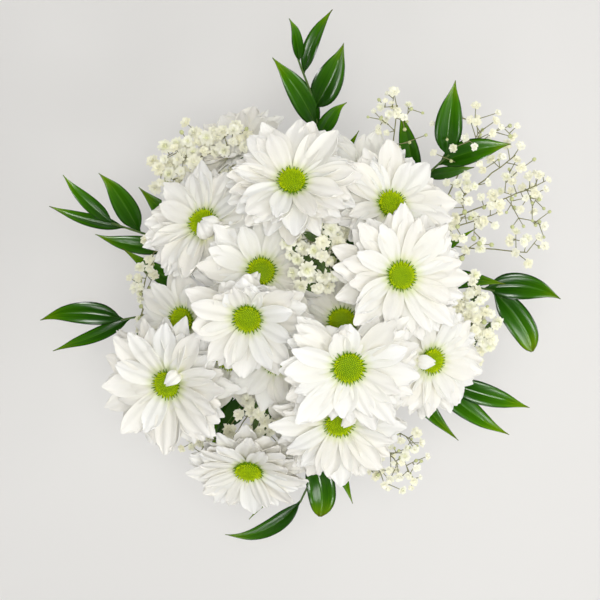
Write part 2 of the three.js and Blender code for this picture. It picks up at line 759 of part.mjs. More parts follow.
function growDaisyStems() {
  for (const spray of SPRAYS) {
    spray.path = sprayPath(spray);
    spray.parts = [];
    addPart(spray, sprayStem(spray));
    for (const bloom of spray.blooms) addPart(spray, inBunch(calyxSolid(), bloom));
  }
  for (const spray of SPRAYS) {
    spray.blooms.forEach((bloom, order) => {
      const grow = (way, margin) => pedicelSolid(spray, order, way, margin);
      const way = firstClear(spray.name, PEDICEL_WAYS, grow);
      if (!way) throw new Error(`${bloom.name} has no clear way for its pedicel`);
      addPart(spray, grow(way, 0));
    });
  }
}

function growThinStems() {
  for (const plant of [...SPRIGS, ...VEILS]) {
    plant.path = thinPath(plant);
    plant.parts = [];
    if (!isClear(plant.name, thinStem(plant, SEAT_GAP))) {
      throw new Error(`${plant.name}: its stem is too close to another piece`);
    }
    addPart(plant, thinStem(plant));
  }
}

function growLimbs() {
  for (const veil of VEILS) {
    veil.branches.forEach((branch, b) => {
      if (!isClear(veil.name, limbSolid(veil, b, CLEAR))) {
        throw new Error(`${veil.name}: branch ${b} crosses another piece`);
      }
    });
    veil.branches.forEach((branch, b) => addPart(veil, limbSolid(veil, b)));
  }
}

// A flower grows only where there is room for it.
function growFlowers(veils) {
  for (const veil of veils) {
    for (let b = 0; b < veil.branches.length; b++) {
      for (let f = 0; f < veil.clump; f++) {
        const plan = flowerPlan(veil, b, f);
        if (isClear(veil.name, tinyFlower(plan, CLEAR))) addPart(veil, tinyFlower(plan));
      }
    }
  }
}

// Petals grow from the highest bloom down.
function growPetals() {
  const highestFirst = [...BLOOMS].sort((a, b) => b.at[2] - a.at[2]);
  for (const bloom of highestFirst) {
    const name = `${bloom.name}_petals`;
    bloom.petals = [collarSolid()];
    for (let i = 0; i < petalCount(bloom); i++) {
      const grow = (way, margin) => inBunch(petalSolid(bloom, i, way, margin), bloom);
      const way = firstClear(name, PETAL_WAYS, grow);
      if (!way) throw new Error(`${name}: no room for petal ${i}`);
      bloom.petals.push(petalSolid(bloom, i, way));
      keep(name, grow(way, 0));
    }
    for (const degrees of bloom.curls ?? []) {
      if (!isClear(name, inBunch(curlSolid(bloom, degrees, CLEAR), bloom))) {
        throw new Error(`${name}: no room for the curl at ${degrees}`);
      }
      bloom.petals.push(curlSolid(bloom, degrees));
      keep(name, inBunch(curlSolid(bloom, degrees), bloom));
    }
  }
}

function growLeaves() {
  for (const sprig of SPRIGS) {
    for (const leaf of sprig.leaves) {
      const grow = (way, margin) => leafSolid(sprig.path, leaf, way, margin);
      const way = firstClear(sprig.name, LEAF_WAYS, grow);
      if (!way) throw new Error(`${sprig.name}: no room for the leaf to ${leaf.tip}`);
      addPart(sprig, grow(way, 0));
    }
  }
}

function bloomGroup(bloom) {
  const group = new THREE.Group();
  group.applyMatrix4(bloom.matrix);
  group.add(meshOf(`${bloom.name}_petals`, fuse(bloom.petals), COLOURS.petal));
  group.add(meshOf(`${bloom.name}_eye`, eyeSolid(bloom), COLOURS.eye));
  return group;
}

nameEverything();
growEyes();
growDaisyStems();
growThinStems();
growLimbs();
growFlowers(VEILS.filter((veil) => veil.inside));
growPetals();
growLeaves();
growFlowers(VEILS.filter((veil) => !veil.inside));

const bunch = new THREE.Group();
for (const bloom of BLOOMS) bunch.add(bloomGroup(bloom));
for (const spray of SPRAYS) bunch.add(meshOf(spray.name, fuse(spray.parts), COLOURS.daisyStem));
for (const sprig of SPRIGS) bunch.add(meshOf(sprig.name, fuse(sprig.parts), COLOURS.ruscus));
for (const veil of VEILS) bunch.add(meshOf(veil.name, fuse(veil.parts), COLOURS.gypsophila));
bunch.add(meshOf("raffia_tie", tieSolid(), COLOURS.raffia));

export default bunch;
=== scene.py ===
import json
from bisect import bisect_right
from itertools import product
from math import atan, cos, exp, floor, hypot, pi, radians, sin, sqrt, tau
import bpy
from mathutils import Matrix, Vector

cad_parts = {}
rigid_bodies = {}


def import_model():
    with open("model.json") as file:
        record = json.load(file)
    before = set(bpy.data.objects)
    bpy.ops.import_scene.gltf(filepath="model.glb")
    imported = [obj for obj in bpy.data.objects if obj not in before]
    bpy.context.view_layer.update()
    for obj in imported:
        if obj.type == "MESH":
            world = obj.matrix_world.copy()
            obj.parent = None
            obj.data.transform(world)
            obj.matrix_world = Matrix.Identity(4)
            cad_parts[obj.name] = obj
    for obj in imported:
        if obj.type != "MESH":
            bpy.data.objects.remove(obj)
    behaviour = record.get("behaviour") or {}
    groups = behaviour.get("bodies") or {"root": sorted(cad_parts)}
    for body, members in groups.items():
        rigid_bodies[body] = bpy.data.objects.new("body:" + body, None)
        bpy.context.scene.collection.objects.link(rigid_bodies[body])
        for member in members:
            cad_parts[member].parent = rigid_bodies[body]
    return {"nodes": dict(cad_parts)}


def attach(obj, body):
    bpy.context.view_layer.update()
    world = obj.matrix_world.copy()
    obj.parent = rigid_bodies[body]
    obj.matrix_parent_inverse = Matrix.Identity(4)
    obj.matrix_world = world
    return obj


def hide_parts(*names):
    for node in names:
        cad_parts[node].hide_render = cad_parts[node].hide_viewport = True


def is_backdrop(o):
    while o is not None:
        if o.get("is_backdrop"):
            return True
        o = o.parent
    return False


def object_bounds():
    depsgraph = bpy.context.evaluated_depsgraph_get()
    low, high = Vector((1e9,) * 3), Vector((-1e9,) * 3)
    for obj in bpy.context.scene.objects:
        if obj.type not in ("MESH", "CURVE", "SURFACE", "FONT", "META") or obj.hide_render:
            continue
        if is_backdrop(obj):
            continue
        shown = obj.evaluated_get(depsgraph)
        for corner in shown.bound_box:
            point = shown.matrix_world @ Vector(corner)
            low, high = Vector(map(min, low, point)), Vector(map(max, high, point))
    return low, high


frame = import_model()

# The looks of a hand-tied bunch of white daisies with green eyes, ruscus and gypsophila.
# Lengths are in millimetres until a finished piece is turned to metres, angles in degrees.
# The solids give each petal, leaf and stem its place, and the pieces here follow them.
from types import SimpleNamespace

import bmesh
import bpy
from mathutils import Matrix, Vector
from mathutils.bvhtree import BVHTree
from mathutils.kdtree import KDTree

cad_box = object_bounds()

# The bundle of stems, as in the solids
TIE_Z = 120
STRAIGHT_TOP_Z = 150
CENTRE_STEM_R = 2.5
DAISY_STEM_R = 2.4
THIN_STEM_R = 1.45
STEM_SEGMENTS = 8
STEM_GAP = 0.35
INNER_FOOT_R = 27
OUTER_FOOT_R = 48
SPIRAL_TURN = 60
INNER_RING_R = CENTRE_STEM_R + DAISY_STEM_R + STEM_GAP
OUTER_RING_R = INNER_RING_R + DAISY_STEM_R + THIN_STEM_R + STEM_GAP
INNER_SLOPE = sqrt(INNER_FOOT_R**2 - INNER_RING_R**2) / TIE_Z
OUTER_SLOPE = sqrt(OUTER_FOOT_R**2 - OUTER_RING_R**2) / TIE_Z
SEAT_GAP = 0.3

# A daisy, as in the solids. A layer of petals has its lift, its droop and the height of its roots.
COLLAR_R = 6.4
COLLAR_H = 2.2
EYE_R = 6.9
CALYX_H = 8
PEDICEL_R = 1.5
PETALS = 16
LOW_PETALS = 10
PETAL_ROOT_R = 3.6
PETAL_W = 11.2
PETAL_T = 0.9
UPPER = (21, -16, 1.45)
LOWER = (8, -8, 0.85)

# The layers that the solids don't have, and also how long and wide their petals are beside the others
INNER = (27, -26, 2.0, 0.84, 0.86)
BETWEEN = (17, -16, 1.2, 0.9, 0.9)
UNDER = (2, -5, 0.4, 1, 1)

# Ruscus leaves, which grow no higher on a stem than LEAF_TOP and are LEAF_W wide where they are
# large, and the raffia tie, as in the solids
LEAF_FOLD = 0.3
LEAF_TOP = 0.995
LEAF_W = 13.5
TIE_HALF = 4.6
STRAND_T = 1.9
TIE_TURN = -70


def daisy(at, towards, lean, reach, low=False, plain=False, cup=0, eye=1, trims=(), curls=()):
    """A bloom: the middle of its collar, the way round and the angle that it leans, and its reach.
    A low one has fewer petals, and low and plain ones have simpler petals in the solids. A trim
    shortens the petals near a way round: the way, how far to each side, and what they keep. A curl
    is the way round of a petal that rolls in over the eye."""
    return SimpleNamespace(**locals())


# The six sprays of daisies: the place of each round the bundle, none for the upright one in its
# middle, and its blooms
SPRAYS = [
    (None, [
        daisy((-20, 14, 276), 80, 10, 34, plain=True, curls=[-128]),
        daisy((-26, -8, 291), 250, 22, 33, trims=[(85, 50, 0.64), (180, 12, 0.86)]),
        daisy((-12, -30, 262), 260, 14, 31, low=True),
    ]),
    (120, [
        daisy((-4, 59, 283), 92, 27, 35),
        daisy((-31, 80, 241), 118, 52, 29, low=True, cup=12, curls=[-62, 10]),
        daisy((34, 62, 246), 72, 36, 33, low=True),
    ]),
    (180, [
        daisy((-49, 39, 268), 140, 30, 34, plain=True, curls=[-18, -66]),
        daisy((-60, -11, 257), 180, 32, 31, low=True),
        daisy((-68, -43, 266), 215, 24, 37, curls=[42]),
    ]),
    (0, [
        daisy((50, 12, 293), 10, 16, 36),
        daisy((46, 48, 275), 50, 26, 34, plain=True),
        daisy((22, -12, 270), 110, 12, 31, low=True),
    ]),
    (300, [
        daisy((24, -33, 300), 290, 14, 37, eye=1.12, trims=[(92, 40, 0.62), (256, 26, 0.76)]),
        daisy((20, -62, 272), 275, 30, 36, plain=True, curls=[48]),
        daisy((67, -31, 264), 340, 30, 31, plain=True, curls=[176], eye=0.9),
    ]),
    (240, [
        daisy((-27, -88, 246), 262, 48, 33, plain=True),
        daisy((-37, -29, 238), 262, 36, 34, low=True),
        daisy((-1, -67, 238), 270, 34, 30, low=True, trims=[(180, 50, 0.5)]),
    ]),
]
BLOOMS = [bloom for _, blooms in SPRAYS for bloom in blooms]

# More petals that roll in over the eyes of blooms 5 and 7: ways round and sizes
MORE_CURLS = {
    4: [(52, 1.3), (98, 1.0), (140, 1.45), (205, 1.15), (250, 1.5), (290, 1.0), (330, 1.3)],
    6: [(-44, 0.8)],
}

# Leaves on the sprays' own stems, under the blooms: how far up the stem, tip and width. They show
# only as dark green between the blooms, where they are put to stand in for the shade in the gaps:
# they are partly real leaves and partly painted shade.
DAISY_LEAVES = [
    [(0.97, (10, 30, 249), 19), (0.93, (3, -15, 248), 18), (0.9, (-36, 8, 240), 17)],
    [(0.95, (20, 48, 238), 18), (0.98, (33, 26, 226), 18)],
    [(0.96, (-62, 24, 234), 16)],
    [(0.96, (26, 24, 246), 18), (0.92, (46, -14, 240), 18), (0.98, (23, 46, 234), 22)],
    [(0.95, (4, -44, 238), 17)],
    [(0.97, (-46, -76, 222), 12), (0.93, (-50, -52, 216), 18)],
]


def leaf_at(base, tip, width, arch=2, sweep=0, roll=0, blunt=False, drawn_out=False):
    """A ruscus leaf: the place of its base along the stem, its tip, width, arch, sideways sweep
    and roll. A blunt one stays broad nearly to its tip in the solids, and here too unless it is
    drawn out."""
    return SimpleNamespace(**locals())


# The ruscus sprigs: the place of each round the bundle, its way above it, and its leaves
SPRIGS = [
    (83, [(12, 62, 205), (8, 104, 232), (-1, 128, 250)], [
        leaf_at(1.0, (-5, 148, 262), 7, 2, -2, 40),
        leaf_at(0.97, (17, 152, 264), 9, 3, 4, -35),
        leaf_at(0.9, (23, 136, 254), 15, 2, -3, -10),
        leaf_at(0.86, (-15, 128, 252), 13, 3, -4, 15),
        leaf_at(0.84, (24, 107, 240), 9, 4, 3, 20),
        leaf_at(0.78, (25, 80, 226), 9, 6, 9),
        leaf_at(0.72, (32, 93, 220), 8, roll=10),
    ]),
    (138, [(-48, 24, 196), (-78, 34, 214), (-103, 42, 226)], [
        leaf_at(1.0, (-128.5, 67, 236), 8, 3, 2, 20),
        leaf_at(0.94, (-107, 69, 240), 12, 2, -2, -5),
        leaf_at(0.97, (-136.5, 51, 228), 8, 3, 3, 25),
        leaf_at(0.86, (-113, 36, 216), 10, 2, 6, 10),
        leaf_at(0.8, (-88, 62, 222), 13),
    ]),
    (166, [(-44, -2, 192), (-72, -6, 205), (-99, -11, 213)], [
        leaf_at(1.0, (-144, -10, 214), 12, 5, -7),
        leaf_at(0.98, (-137.5, -27, 208), 8, 3, 4, 15),
        leaf_at(0.8, (-98, 27.5, 222), 11, roll=-10),
        leaf_at(0.84, (-98, -24, 200), 7),
    ]),
    (55, [(38, 42, 196), (62, 62, 222), (80, 78, 240)], [
        leaf_at(1.0, (83, 116, 254), 14, 2, 3),
        leaf_at(0.97, (113, 83, 244), 13, 4, 4, -10),
        leaf_at(0.9, (53, 101, 244), 11, 2, -3),
        leaf_at(0.93, (94, 72, 236), 7, 3, 0, 25),
    ]),
    (0, [(46, 8, 194), (80, 10, 211), (107, 5, 219)], [
        leaf_at(0.98, (144, 1, 216), 14, 6, 8, blunt=True, drawn_out=True),
        leaf_at(1.0, (130, -28, 212), 14, 3, 4, blunt=True),
        leaf_at(0.82, (112, 9, 226), 11, 5, 5),
        leaf_at(0.78, (96, 40, 222), 8),
    ]),
    (305, [(40, -22, 190), (62, -38, 204), (82, -46, 213)], [
        leaf_at(1.0, (127, -59, 214), 12, 4, -1),
        leaf_at(0.95, (116, -76, 206), 12, 3, -4),
        leaf_at(0.84, (88, -79.5, 200), 11, 3, -3),
    ]),
    (249, [(4, -40, 190), (7, -74, 202), (8, -94, 207), (0, -113, 204)], [
        leaf_at(0.9, (12, -121, 204), 15, 6, 5, blunt=True),
        leaf_at(0.82, (31, -113.5, 200), 9),
        leaf_at(1.0, (-42, -133, 200), 9, -3, 13, 10),
        leaf_at(0.84, (-28, -125, 190), 8, 2, 3),
    ]),
    (194, [(-24, -28, 188), (-36, -46, 200), (-42, -58, 206)], [
        leaf_at(1.0, (-49, -81, 220), 12, 3, 3),
        leaf_at(0.93, (-60, -76, 212), 9),
        leaf_at(0.85, (-16, -72, 206), 9),
    ]),
]


def cloud_at(middle, half, count, wide, buds, room=0.8, leaves=0):
    """A cloud of gypsophila flowers beyond those of the solids: its middle and half-size, how many
    it may hold, their radius, which part of them are buds, how near they stand for their radii,
    and how many narrow leaves it has."""
    return SimpleNamespace(**locals())


def veil_at(slot, flower, clump, way, branches, clouds, inner=False):
    """An airy spray of gypsophila: its place round the bundle, the radius of its flowers and how
    many end a branch in the solids, its way above the bundle, the ends of its branches, and its
    clouds. Its stem is in the outer ring of the bundle or, where it is inner, the inner one."""
    return SimpleNamespace(**locals())


VEILS = [
    veil_at(
        111, 3.4, 3, [(-26, 44, 198), (-52, 64, 218)],
        [(-65, 80, 236), (-54, 90, 238), (-74, 68, 230), (-80, 26, 222)],
        [
            cloud_at((-56, 71, 249), (21, 20, 9), 90, 3.7, 0.12, 0.72),
            cloud_at((-35, 84, 262), (10, 9, 5), 14, 3.5, 0.1, 0.72),
            cloud_at((-87, 4, 220), (10, 22, 7), 24, 2.9, 0.25),
        ],
    ),
    veil_at(
        28, 3, 3, [(46, 26, 196), (78, 46, 218)],
        [(96, 90, 240), (116, 78, 238), (128, 62, 236), (124, 26, 224), (104, 46, 234), (52, 104, 246)],
        [
            cloud_at((52, 96, 244), (19, 16, 7), 26, 2.2, 0.4),
            cloud_at((94, 88, 240), (26, 19, 8), 40, 2.5, 0.35),
            cloud_at((122, 50, 232), (17, 32, 8), 44, 2.5, 0.35),
            cloud_at((90, 45, 236), (21, 25, 9), 46, 3.1, 0.2),
        ],
    ),
    veil_at(
        60, 4.2, 3, [(8, 16, 190), (10, 28, 228)],
        [(9, 37, 258), (17, 29, 262), (3, 27, 254), (21, 41, 254)],
        [cloud_at((9, 26, 290), (16, 24, 7), 130, 4.3, 0.1, 0.64, leaves=44)],
        inner=True,
    ),
    veil_at(
        332, 3.4, 2, [(44, -8, 192), (76, -8, 216)],
        [(96, 4, 234), (92, -14, 232), (99, -22, 226), (86, 16, 232)],
        [cloud_at((93, -14, 233), (14, 20, 9), 110, 3.5, 0.12, 0.68, leaves=12)],
    ),
    veil_at(
        277, 3, 2, [(22, -44, 190), (40, -76, 206)],
        [(54, -90, 222), (44, -94, 218), (60, -76, 222), (36, -92, 212)],
        [cloud_at((54, -88, 220), (18, 17, 7), 46, 2.2, 0.35)],
    ),
    veil_at(
        221, 4, 3, [(-22, -50, 190), (-27, -62, 216)],
        [(-25, -64, 240), (-16, -74, 236), (-33, -70, 234), (-46, -78, 222)],
        [
            cloud_at((-19, -62, 248), (10, 12, 6), 24, 3.9, 0.1, 0.72, leaves=12),
            cloud_at((-53, -82, 222), (13, 8, 5), 12, 2.5, 0.4),
        ],
    ),
]

# The ways in which the solids try to grow a piece, in their order: how much shorter, more bent and
# further round a petal is, how far sideways and down a side stalk bows, and a leaf's lift and roll
PETAL_WAYS = list(product((1, 0.84, 0.68, 0.52), (0, -8, 8, -16, 16, -26, 26, -38), (0, 7, -7)))
STALK_WAYS = list(product((0, 5, -5, 10, -10, 16, -16, 22, -22), (0, -6, 8, 16)))
LEAF_WAYS = list(product((0, -4, 4, -9, 9, -15), (0, 25, -25)))

# How finely the pieces are drawn, and how thick their sheets are
PETAL_GRID = (12, 13)
LEAF_GRID = (14, 18)
DAISY_LEAF_GRID = (8, 26)
STEM_STEPS = 60
STALK_STEPS = 20
PETAL_FINE_T = 0.32
LEAF_FINE_T = 0.4
SCALE_T = 0.3
BRACT_T = 0.2

# The florets of an eye: closed ones in a sunflower's spiral, and open ones in two rings at its rim
GOLDEN_ANGLE = 137.508
CLOSED_FLORETS = 230
RING_FLORETS = 26

# Half-widths along a petal, a curl and a leaf for a nominal one of 1, and the cup's radius by height
PETAL_OUTLINE = [
    (0, 0.45), (0.12, 0.62), (0.3, 0.9), (0.48, 1.06), (0.64, 1.1), (0.8, 1.0), (0.91, 0.8), (1, 0.46),
]
CURL_OUTLINE = [(0, 0.4), (0.3, 0.7), (0.55, 0.96), (0.75, 1.0), (0.9, 0.78), (1, 0.4)]
LEAF_OUTLINE = [
    (0, 0.09), (0.04, 0.13), (0.11, 0.5), (0.22, 0.88), (0.36, 1.02), (0.54, 0.93), (0.71, 0.65),
    (0.85, 0.3), (0.94, 0.11), (1, 0.02),
]
BLUNT_OUTLINE = [
    (0, 0.09), (0.04, 0.12), (0.12, 0.42), (0.24, 0.82), (0.4, 1), (0.6, 1.02), (0.78, 0.88),
    (0.92, 0.55), (1, 0.1),
]
CUP_OUTLINE = [(-8.6, 1.6), (-7.6, 2.3), (-5.6, 4.1), (-3.3, 5.4), (-1.5, 6), (-0.3, 5.9)]

# The numbers that a sheet's vertices carry for its material
SHEET_NUMBERS = ("along", "across", "tone")
UP = Vector((0, 0, 1))


# Numbers and lines

def draw(a, b):
    """The repeatable draw from 0 to 1 that the solids make for piece a and its detail b."""
    v = sin(a * 12.9898 + b * 78.233) * 43758.5453
    return v - floor(v)


def spread(a, b, half):
    return (2 * draw(a, b) - 1) * half


def mix(a, b, share):
    return a + (b - a) * share


def ease(low, high, x):
    """0 below low, 1 above high, and a smooth rise between."""
    t = min(1, max(0, (x - low) / (high - low)))
    return t * t * (3 - 2 * t)


def on_outline(outline, s):
    """The value at s of a smooth line through (s, value) pairs."""
    k = min(len(outline) - 2, max(0, bisect_right([p[0] for p in outline], s) - 1))
    before, after = outline[max(0, k - 1)], outline[min(len(outline) - 1, k + 2)]
    (s0, v0), (s1, v1) = outline[k], outline[k + 1]
    step = s1 - s0
    t = (s - s0) / step
    rise0 = (v1 - before[1]) / max(1e-6, s1 - before[0]) * step
    rise1 = (after[1] - v0) / max(1e-6, after[0] - s0) * step
    t2, t3 = t * t, t * t * t
    return v0 * (2 * t3 - 3 * t2 + 1) + rise0 * (t3 - 2 * t2 + t) + v1 * (3 * t2 - 2 * t3) + rise1 * (t3 - t2)


def spline_point(points, t):
    """The centripetal spline through points, as the solids' stems follow it."""
    spans = len(points) - 1
    k = min(spans - 1, int(spans * t))
    w = spans * t - k
    p1, p2 = points[k], points[k + 1]
    p0 = points[k - 1] if k > 0 else 2 * points[0] - points[1]
    p3 = points[k + 2] if k + 2 < len(points) else 2 * points[-1] - points[-2]
    d1 = (p2 - p1).length ** 0.5
    d0 = (p1 - p0).length ** 0.5 or d1
    d2 = (p3 - p2).length ** 0.5 or d1
    m1 = ((p1 - p0) / d0 - (p2 - p0) / (d0 + d1) + (p2 - p1) / d1) * d1
    m2 = ((p2 - p1) / d1 - (p3 - p1) / (d1 + d2) + (p3 - p2) / d2) * d1
    return p1 + m1 * w + (3 * (p2 - p1) - 2 * m1 - m2) * w * w + (2 * (p1 - p2) + m1 + m2) * w**3


class Line:
    """A smooth line through points, walked by the part of its length."""

    def __init__(self, points, steps=200):
        points = [Vector(p) for p in points]
        self.points = [spline_point(points, k / steps) for k in range(steps + 1)]
        self.reach = [0]
        for a, b in zip(self.points, self.points[1:]):
            self.reach.append(self.reach[-1] + (b - a).length)

    def at(self, s):
        goal = min(1, max(0, s)) * self.reach[-1]
        k = min(len(self.points) - 2, max(0, bisect_right(self.reach, goal) - 1))
        step = self.reach[k + 1] - self.reach[k]
        return self.points[k].lerp(self.points[k + 1], (goal - self.reach[k]) / step)

    def heading(self, s):
        return (self.at(s + 0.002) - self.at(s - 0.002)).normalized()

    def on_straights(self, s):
        """The point at s on the straight pieces that the solid's tube is made of."""
        k = min(STEM_SEGMENTS - 1, int(s * STEM_SEGMENTS))
        return self.at(k / STEM_SEGMENTS).lerp(self.at((k + 1) / STEM_SEGMENTS), s * STEM_SEGMENTS - k)


def cubic(p0, p1, p2, p3, t):
    u = 1 - t
    return p0 * u**3 + p1 * (3 * u * u * t) + p2 * (3 * u * t * t) + p3 * t**3


def quadratic(p0, p1, p2, t):
    u = 1 - t
    return p0 * (u * u) + p1 * (2 * u * t) + p2 * (t * t)


def around(angle, out, across, up):
    """A point by its way round an upright axis, its way out from it and across, and its height."""
    return Vector((
        out * cos(angle) - across * sin(angle),
        out * sin(angle) + across * cos(angle),
        up,
    ))


def beside(way):
    """The level direction a quarter turn from a way."""
    return Vector((-way.y, way.x, 0)).normalized()


# Pieces of mesh

def new_mesh(*numbers):
    """An empty bmesh whose vertices carry the named numbers for the materials."""
    bm = bmesh.new()
    for name in numbers:
        bm.verts.layers.float.new(name)
    return bm


def tell(bm, verts, **numbers):
    """Gives vertices their numbers for the materials."""
    for name, value in numbers.items():
        layer = bm.verts.layers.float[name]
        for vert in verts:
            vert[layer] = value


def paint(bm, index):
    """Gives all the faces one of the piece's materials."""
    for face in bm.faces:
        face.material_index = index


def to_mesh(name, bm):
    """Turns a bmesh into a mesh, and frees it."""
    mesh = bpy.data.meshes.new(name)
    bm.to_mesh(mesh)
    bm.free()
    return mesh


def join(bm, other):
    """Adds another bmesh to this one, and frees it."""
    mesh = to_mesh("joined", other)
    bm.from_mesh(mesh)
    bpy.data.meshes.remove(mesh)


def place_object(name, data):
    made = bpy.data.objects.new(name, data)
    bpy.context.scene.collection.objects.link(made)
    return made


def finish_piece(name, bm, materials, node, slot, crease=50):
    """Turns the mesh to metres and makes it the piece that stands for a solid of the frame."""
    for edge in bm.edges:
        edge.smooth = edge.calc_face_angle(0) < radians(crease)
    for face in bm.faces:
        face.smooth = True
    bmesh.ops.scale(bm, vec=(0.001, 0.001, 0.001), verts=bm.verts)
    mesh = to_mesh(name, bm)
    for material in materials:
        mesh.materials.append(material)
    piece = place_object(name, mesh)
    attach(piece, "root")
    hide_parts(node)


def warped_grid(bm, columns, rows, place, tone=None, low=0):
    """A sheet of columns by rows, laid by place(across, along) with across from -1 to 1 and along
    from 0 to 1. One with a tone tells its material all three, with along starting at low."""
    made = bmesh.ops.create_grid(bm, x_segments=columns, y_segments=rows, size=1)["verts"]
    layers = [] if tone is None else [bm.verts.layers.float[name] for name in SHEET_NUMBERS]
    for vert in made:
        across, along = vert.co.x, (vert.co.y + 1) / 2
        for layer, value in zip(layers, (mix(low, 1, along), across, tone)):
            vert[layer] = value
        vert.co = place(across, along)


def thicken(bm, thickness):
    """Gives every sheet in the mesh its thickness, with the outside facing out."""
    made = bmesh.ops.extrude_face_region(bm, geom=bm.faces[:], use_keep_orig=True)["geom"]
    raised = [part for part in made if isinstance(part, bmesh.types.BMVert)]
    bm.normal_update()
    lifts = [vert.normal * thickness for vert in raised]
    for vert, lift in zip(raised, lifts):
        vert.co += lift
    bmesh.ops.recalc_face_normals(bm, faces=bm.faces[:])


def add_tubes(bm, lines, roundness=2):
    """Adds closed round tubes along lines of (point, radius) pairs."""
    curve = bpy.data.curves.new("tubes", "CURVE")
    curve.dimensions = "3D"
    curve.bevel_depth = 1
    curve.bevel_resolution = roundness
    curve.use_fill_caps = True
    for line in lines:
        run = curve.splines.new("POLY")
        run.points.add(len(line) - 1)
        for target, (point, radius) in zip(run.points, line):
            target.co = (*point, 1)
            target.radius = radius
    holder = bpy.data.objects.new("tubes", curve)
    mesh = bpy.data.meshes.new_from_object(holder)
    first = len(bm.verts)
    bm.from_mesh(mesh)
    bm.verts.ensure_lookup_table()
    bmesh.ops.remove_doubles(bm, verts=bm.verts[first:], dist=1e-4)
    bpy.data.objects.remove(holder)
    bpy.data.curves.remove(curve)
    bpy.data.meshes.remove(mesh)


def cut_level(bm, material_index):
    """Cuts the stems level at the plane that the bunch stands on, and shows their pale insides."""
    parts = bm.verts[:] + bm.edges[:] + bm.faces[:]
    bmesh.ops.bisect_plane(bm, geom=parts, dist=1e-5, plane_co=(0, 0, 0), plane_no=UP, clear_inner=True)
    rims = [edge for edge in bm.edges if edge.is_boundary]
    for face in bmesh.ops.edgeloop_fill(bm, edges=rims)["faces"]:
        face.material_index = material_index
    bmesh.ops.recalc_face_normals(bm, faces=bm.faces[:])


def stem_run(line, radius_at):
    """The (point, radius) pairs of a stem, from a little below the plane where it is cut."""
    run = [(line.at(k / STEM_STEPS), radius_at(k / STEM_STEPS)) for k in range(STEM_STEPS + 1)]
    return [(line.at(0) - line.heading(0.01) * 3, radius_at(0)), *run]


def turned(bm, profile, steps, matrix):
    """A solid turned from (radius, height) points that start and end on the axis."""
    chain = [bm.verts.new((radius, 0, height)) for radius, height in profile]
    edges = [bm.edges.new(pair) for pair in zip(chain, chain[1:])]
    ring = bmesh.ops.spin(
        bm, geom=chain + edges, cent=(0, 0, 0), axis=UP, angle=tau, steps=steps, use_merge=True
    )
    last = [edge for edge in ring["geom_last"] if isinstance(edge, bmesh.types.BMEdge)]
    island = grown({*chain} | {vert for edge in last for vert in edge.verts})
    bmesh.ops.remove_doubles(bm, verts=list(island), dist=1e-4)
    island = [v for v in island if v.is_valid]
    bmesh.ops.transform(bm, matrix=matrix, verts=island)
    return island


def grown(verts):
    """All the vertices that are joined to these by edges."""
    found, front = set(verts), list(verts)
    while front:
        for edge in front.pop().link_edges:
            for vert in edge.verts:
                if vert not in found:
                    found.add(vert)
                    front.append(vert)
    return found


# What the solids look like

def corners_of(node):
    """A search tree of a solid's corners, in millimetres."""
    corners = [v.co * 1000 for v in frame["nodes"][node].data.vertices]
    tree = KDTree(len(corners))
    for k, corner in enumerate(corners):
        tree.insert(corner, k)
    tree.balance()
    return tree


def first_found(tree, ways, marks_of):
    """The first way whose marks are all corners of the solid, or else the way with the most."""
    best, most = ways[0], 0
    for way in ways:
        marks = marks_of(way)
        hits = sum(tree.find(mark)[2] < 0.02 for mark in marks)
        if hits > most:
            best, most = way, hits
        if hits == len(marks):
            break
    return best


def spiral_start(ring_r, slope, slot):
    """The straight part of a stem, which crosses the others at the tie."""
    heights = (0, TIE_Z / 3, 2 * TIE_Z / 3, TIE_Z, STRAIGHT_TOP_Z)
    return [around(radians(slot - SPIRAL_TURN), ring_r, slope * (z - TIE_Z), z) for z in heights]


for index, bloom in enumerate(BLOOMS):
    axle = around(radians(bloom.towards), 0, 1, 0)
    bloom.index = index
    bloom.name = f"daisy_{index + 1:02d}"
    bloom.matrix = Matrix.Translation(bloom.at) @ Matrix.Rotation(radians(bloom.lean), 4, axle)


# Petals

class Petal:
    """How a petal lies on its bloom: its way round, its lift at the root, how that changes to the
    tip, its length, half its width, and the height of its root."""

    def __init__(self, azimuth, pitch, droop, length, half_w, root):
        self.azimuth, self.pitch, self.droop = (radians(angle) for angle in (azimuth, pitch, droop))
        self.length, self.half_w, self.root = length, half_w, root

    def point(self, s, across, over):
        """The point of the bloom's frame that is at s along the petal, and raised over it."""
        rise = self.pitch + self.droop * s / 2
        slant = self.pitch + self.droop * s
        out = PETAL_ROOT_R + self.length * s * cos(rise) - over * sin(slant)
        up = self.root + self.length * s * sin(rise) + over * cos(slant)
        return around(self.azimuth, out, across, up)


def trim_at(bloom, degrees):
    """What a petal at this way round keeps of its length."""
    for middle, half, kept in bloom.trims:
        if abs((degrees - middle + 540) % 360 - 180) <= half:
            return kept
    return 1


def solid_petal(bloom, i, way):
    """Petal i of a bloom as in the solids, grown in one of the ways."""
    shorter, bend, turn = way
    pitch, droop, root = UPPER if i % 2 == 0 else LOWER
    spoke = 360 / (LOW_PETALS if bloom.low else PETALS) * i
    uneven = 1 + spread(bloom.index, i + 120, 0.07)
    return Petal(
        spoke + spread(bloom.index, i, 4) + turn,
        pitch + bloom.cup + spread(bloom.index, i + 40, 4) + bend,
        droop + spread(bloom.index, i + 80, 12),
        bloom.reach * uneven * shorter * trim_at(bloom, spoke) - PETAL_ROOT_R,
        PETAL_W / 2 * (1 + spread(bloom.index, i + 160, 0.1)),
        root,
    )


